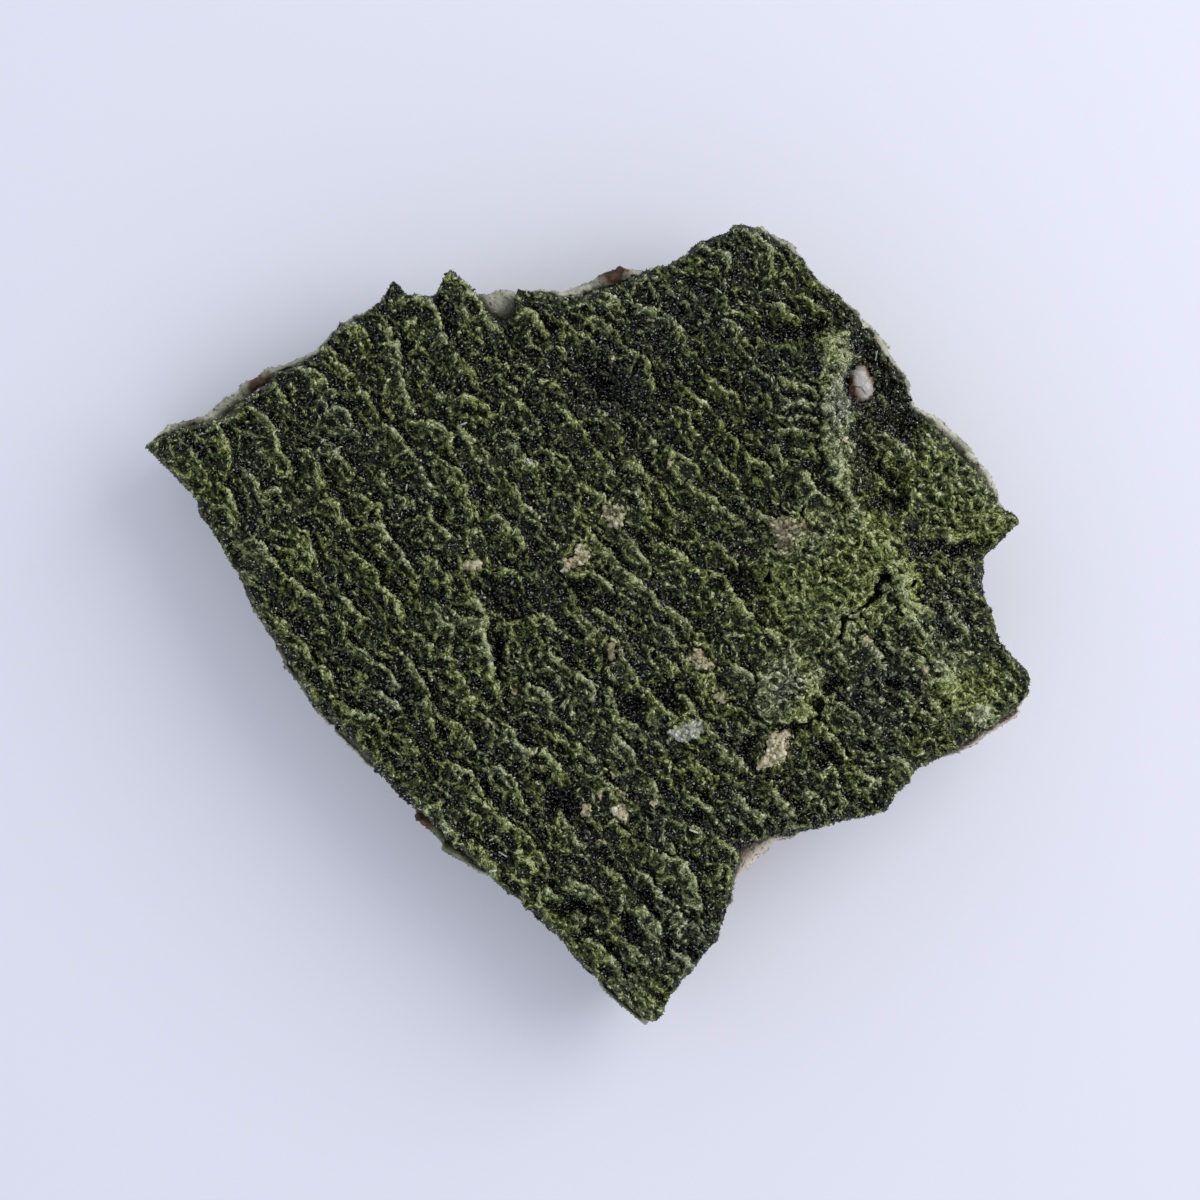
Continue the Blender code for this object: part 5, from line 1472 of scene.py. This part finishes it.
for index, (name, x, y, *_, kind) in enumerate(SEATED_CRYSTALS):
    rise, crumbling, tone, corners = PALE_OUTLINES[name]
    turns, rings = (96, 16) if crumbling < BROKEN_BELOW else (72, 9)
    vertices, triangles, chunk = lump(corners, rise, crumbling, 71 + index, turns, rings)
    # Tone rises where the lump pushes out and falls in its pores and dents, for the quartz crystal too:
    # painted light and painted shade on top of the crystal's cloudy colour.
    tones = tone + 0.5 * chunk + 0.15 * smooth_noise(vertices, 0.6, 72 + index)
    if name == "quartz_crystal":
        # Rusty root at the lower left, and a clear right side through which the dark hollow shows.
        tones = 0.66 + 0.6 * chunk + 0.2 * smooth_noise(vertices, 0.8, 70)
        tones -= 0.38 * smooth_step((-0.1 - vertices[:, 0] - 0.5 * vertices[:, 1]) / 1.2)
        tones -= 0.8 * smooth_step((vertices[:, 0] - 0.75 + 0.3 * vertices[:, 1]) / 1.8)
    else:
        vertices, triangles, tones = crumbled(vertices, triangles, tones, BLOCKS)
    vertices = vertices * (1.1, 1.1, 1.0) + (x, y, seat_level((name, x, y)) + 0.45)
    material = {"quartz_crystal": quartz, "quartz_shard": quartz_clear}.get(name, feldspar)
    make_piece(f"{name}_lump", vertices, triangles, material, kind,
               np.clip(tones, 0.0, 1.0), replaced=(name,))

# %% [markdown]
# ## Small grains and needles
#
# Between the large crystals sit dozens of pale grains and white needles, a millimetre or two long. Each
# is drawn from the surface under it: a ray from above finds the crust, so that nothing floats.

# %% Grains
# Grain centre x, y and its two sizes, in millimetres.
GRAINS = (
    (20.0, -10.6, 2.4, 2.1), (3.7, -4.0, 1.5, 3.3), (37.0, -2.6, 2.1, 1.2), (41.4, -2.3, 2.2, 1.5),
    (4.1, -22.3, 1.2, 2.1), (2.0, -25.3, 1.2, 1.5), (5.0, -25.1, 1.8, 1.8), (0.1, -27.7, 2.1, 2.1),
    (10.0, -26.5, 1.5, 1.5), (-7.0, -35.2, 2.4, 2.7), (9.4, 45.7, 1.4, 1.4), (4.0, 39.8, 1.4, 1.0),
    (12.5, 23.9, 1.2, 1.2), (-14.8, -14.5, 1.2, 2.1), (-10.9, -10.1, 1.0, 1.0), (-6.7, -21.4, 1.0, 1.0),
    (50.3, -6.6, 1.4, 1.6), (38.0, 27.7, 1.2, 1.2), (24.9, -14.9, 1.6, 1.2), (2.2, -0.4, 1.2, 1.4),
)
# Needle centre x, y, length and heading in degrees.
NEEDLES = (
    (-18.5, 29.9, 1.8, 20), (43.4, 40.3, 1.6, 80), (19.7, 49.6, 1.2, -40), (-14.0, -32.0, 1.2, 30),
    (-12.4, -34.4, 1.6, -30), (-13.9, -36.7, 1.2, 10), (35.9, -21.5, 1.6, 35), (16.1, -30.8, 1.6, -20),
    (53.8, 10.3, 1.0, 0), (-10.7, 13.9, 1.2, 60), (-8.5, 24.2, 1.2, -60), (-37.0, 26.5, 1.2, 15),
    (-26.9, 20.5, 1.2, 75), (-15.5, 4.1, 1.2, -10), (-55.2, 29.9, 1.4, 40), (1.5, -9.0, 1.2, -35),
)

ground = BVHTree.FromPolygons(
    [tuple(vertex) for vertex in crust_vertices],
    [tuple(int(index) for index in face) for face in crust_faces],
)


def surface(x, y):
    """Highest crust point under each plan point, found by a ray straight down."""
    heights = []
    for here_x, here_y in zip(x, y):
        hit = ground.ray_cast(Vector((here_x, here_y, 60.0)), Vector((0.0, 0.0, -1.0)))[0]
        heights.append(hit.z if hit else 0.0)
    return np.array(heights)


parts, part_faces, part_tones = [], [], []
first = 0
for index, (x, y, length, wide) in enumerate(GRAINS):
    spokes = np.arange(9) * 2 * math.pi / 9
    jagged = random.uniform(0.32, 0.62, 9)
    corners = np.stack((length * jagged * np.cos(spokes), wide * jagged * np.sin(spokes)), axis=1)
    vertices, triangles, chunk = lump(corners, random.uniform(0.5, 0.9), 0.4, 90 + index, 36, 5)
    level = surface([x], [y])[0]
    parts.append(vertices + (x, y, level - 0.1))
    part_faces.append(triangles + first)
    # Tone rises on the grain's bumps and falls in its pores: painted light and painted shade.
    part_tones.append(np.clip(random.uniform(0.25, 0.65) + 0.5 * chunk, 0, 1))
    first += len(vertices)
make_piece("small_feldspar_grains", np.concatenate(parts), np.concatenate(part_faces), feldspar, "feldspar",
           np.concatenate(part_tones))

# %% Specks and needles
GLINT_SPECKS = 11000

# White specks, most of them in the dark hollows: partly small quartz grains and partly painted glints, the
# lit faces of the pit crystals drawn in white.
spots, _, chosen = scatter(crust_vertices, crust_faces[:len(faces)], 5 * GLINT_SPECKS, random)
hollow = 1.15 - 2.6 * crust_tone[crust_faces[chosen]].mean(axis=1) + random.uniform(-0.4, 0.4, len(spots))
spots = spots[np.sort(np.argsort(-hollow)[:GLINT_SPECKS])]
spots[:, 2] += 0.2
axes = unit(np.array((0.2, 0.2, 0.8)) + random.normal(scale=0.6, size=spots.shape))
size = random.uniform(0.14, 0.27, (GLINT_SPECKS, 2)) * random.choice((1.0, 1.0, 1.0, 1.0, 1.4, 2.1), (GLINT_SPECKS, 1))
long = random.uniform(0.2, 0.4, GLINT_SPECKS) * random.choice((1.0, 1.0, 1.0, 1.0, 1.0, 1.0, 1.0, 2.8), GLINT_SPECKS)
vertices, triangles = copies(GRAIN, GRAIN_FACES, spots, axes, size, long, random)
make_piece("quartz_specks_and_painted_glints", vertices, triangles, quartz_clear, "quartz",
           np.repeat(np.clip(random.normal(0.95, 0.25, GLINT_SPECKS), 0, 1), len(GRAIN)))

# Needle: a six-sided prism with a short foot and a slanted point.
sixth = np.arange(6) * math.pi / 3
NEEDLE = np.concatenate((
    [[0.0, 0.0, -0.05]],
    np.stack((0.5 * np.cos(sixth), 0.5 * np.sin(sixth), np.zeros(6)), axis=1),
    np.stack((0.46 * np.cos(sixth), 0.46 * np.sin(sixth), 0.82 + 0.05 * np.cos(sixth)), axis=1),
    [[0.04, 0.03, 1.0]],
))
NEEDLE_FACES = np.array(
    [(0, 1 + (i + 1) % 6, 1 + i) for i in range(6)]
    + [(1 + i, 1 + (i + 1) % 6, 7 + (i + 1) % 6) for i in range(6)]
    + [(1 + i, 7 + (i + 1) % 6, 7 + i) for i in range(6)]
    + [(13, 7 + i, 7 + (i + 1) % 6) for i in range(6)]
)
needles = np.array(NEEDLES)
heading = np.radians(needles[:, 3])
tilt = random.uniform(0.15, 0.5, len(needles))
axes = unit(np.stack((np.cos(heading), np.sin(heading), tilt), axis=1))
places = np.column_stack((needles[:, :2], surface(needles[:, 0], needles[:, 1]) + 0.35))
places[:, :2] -= axes[:, :2] * needles[:, 2, None] / 2
size = np.stack((random.uniform(0.3, 0.42, len(needles)), random.uniform(0.2, 0.3, len(needles))), axis=1)
vertices, triangles = copies(NEEDLE, NEEDLE_FACES, places, axes, size, needles[:, 2], random)
make_piece("needle_crystals", vertices, triangles, quartz_clear, "quartz", np.full(len(vertices), 0.85))
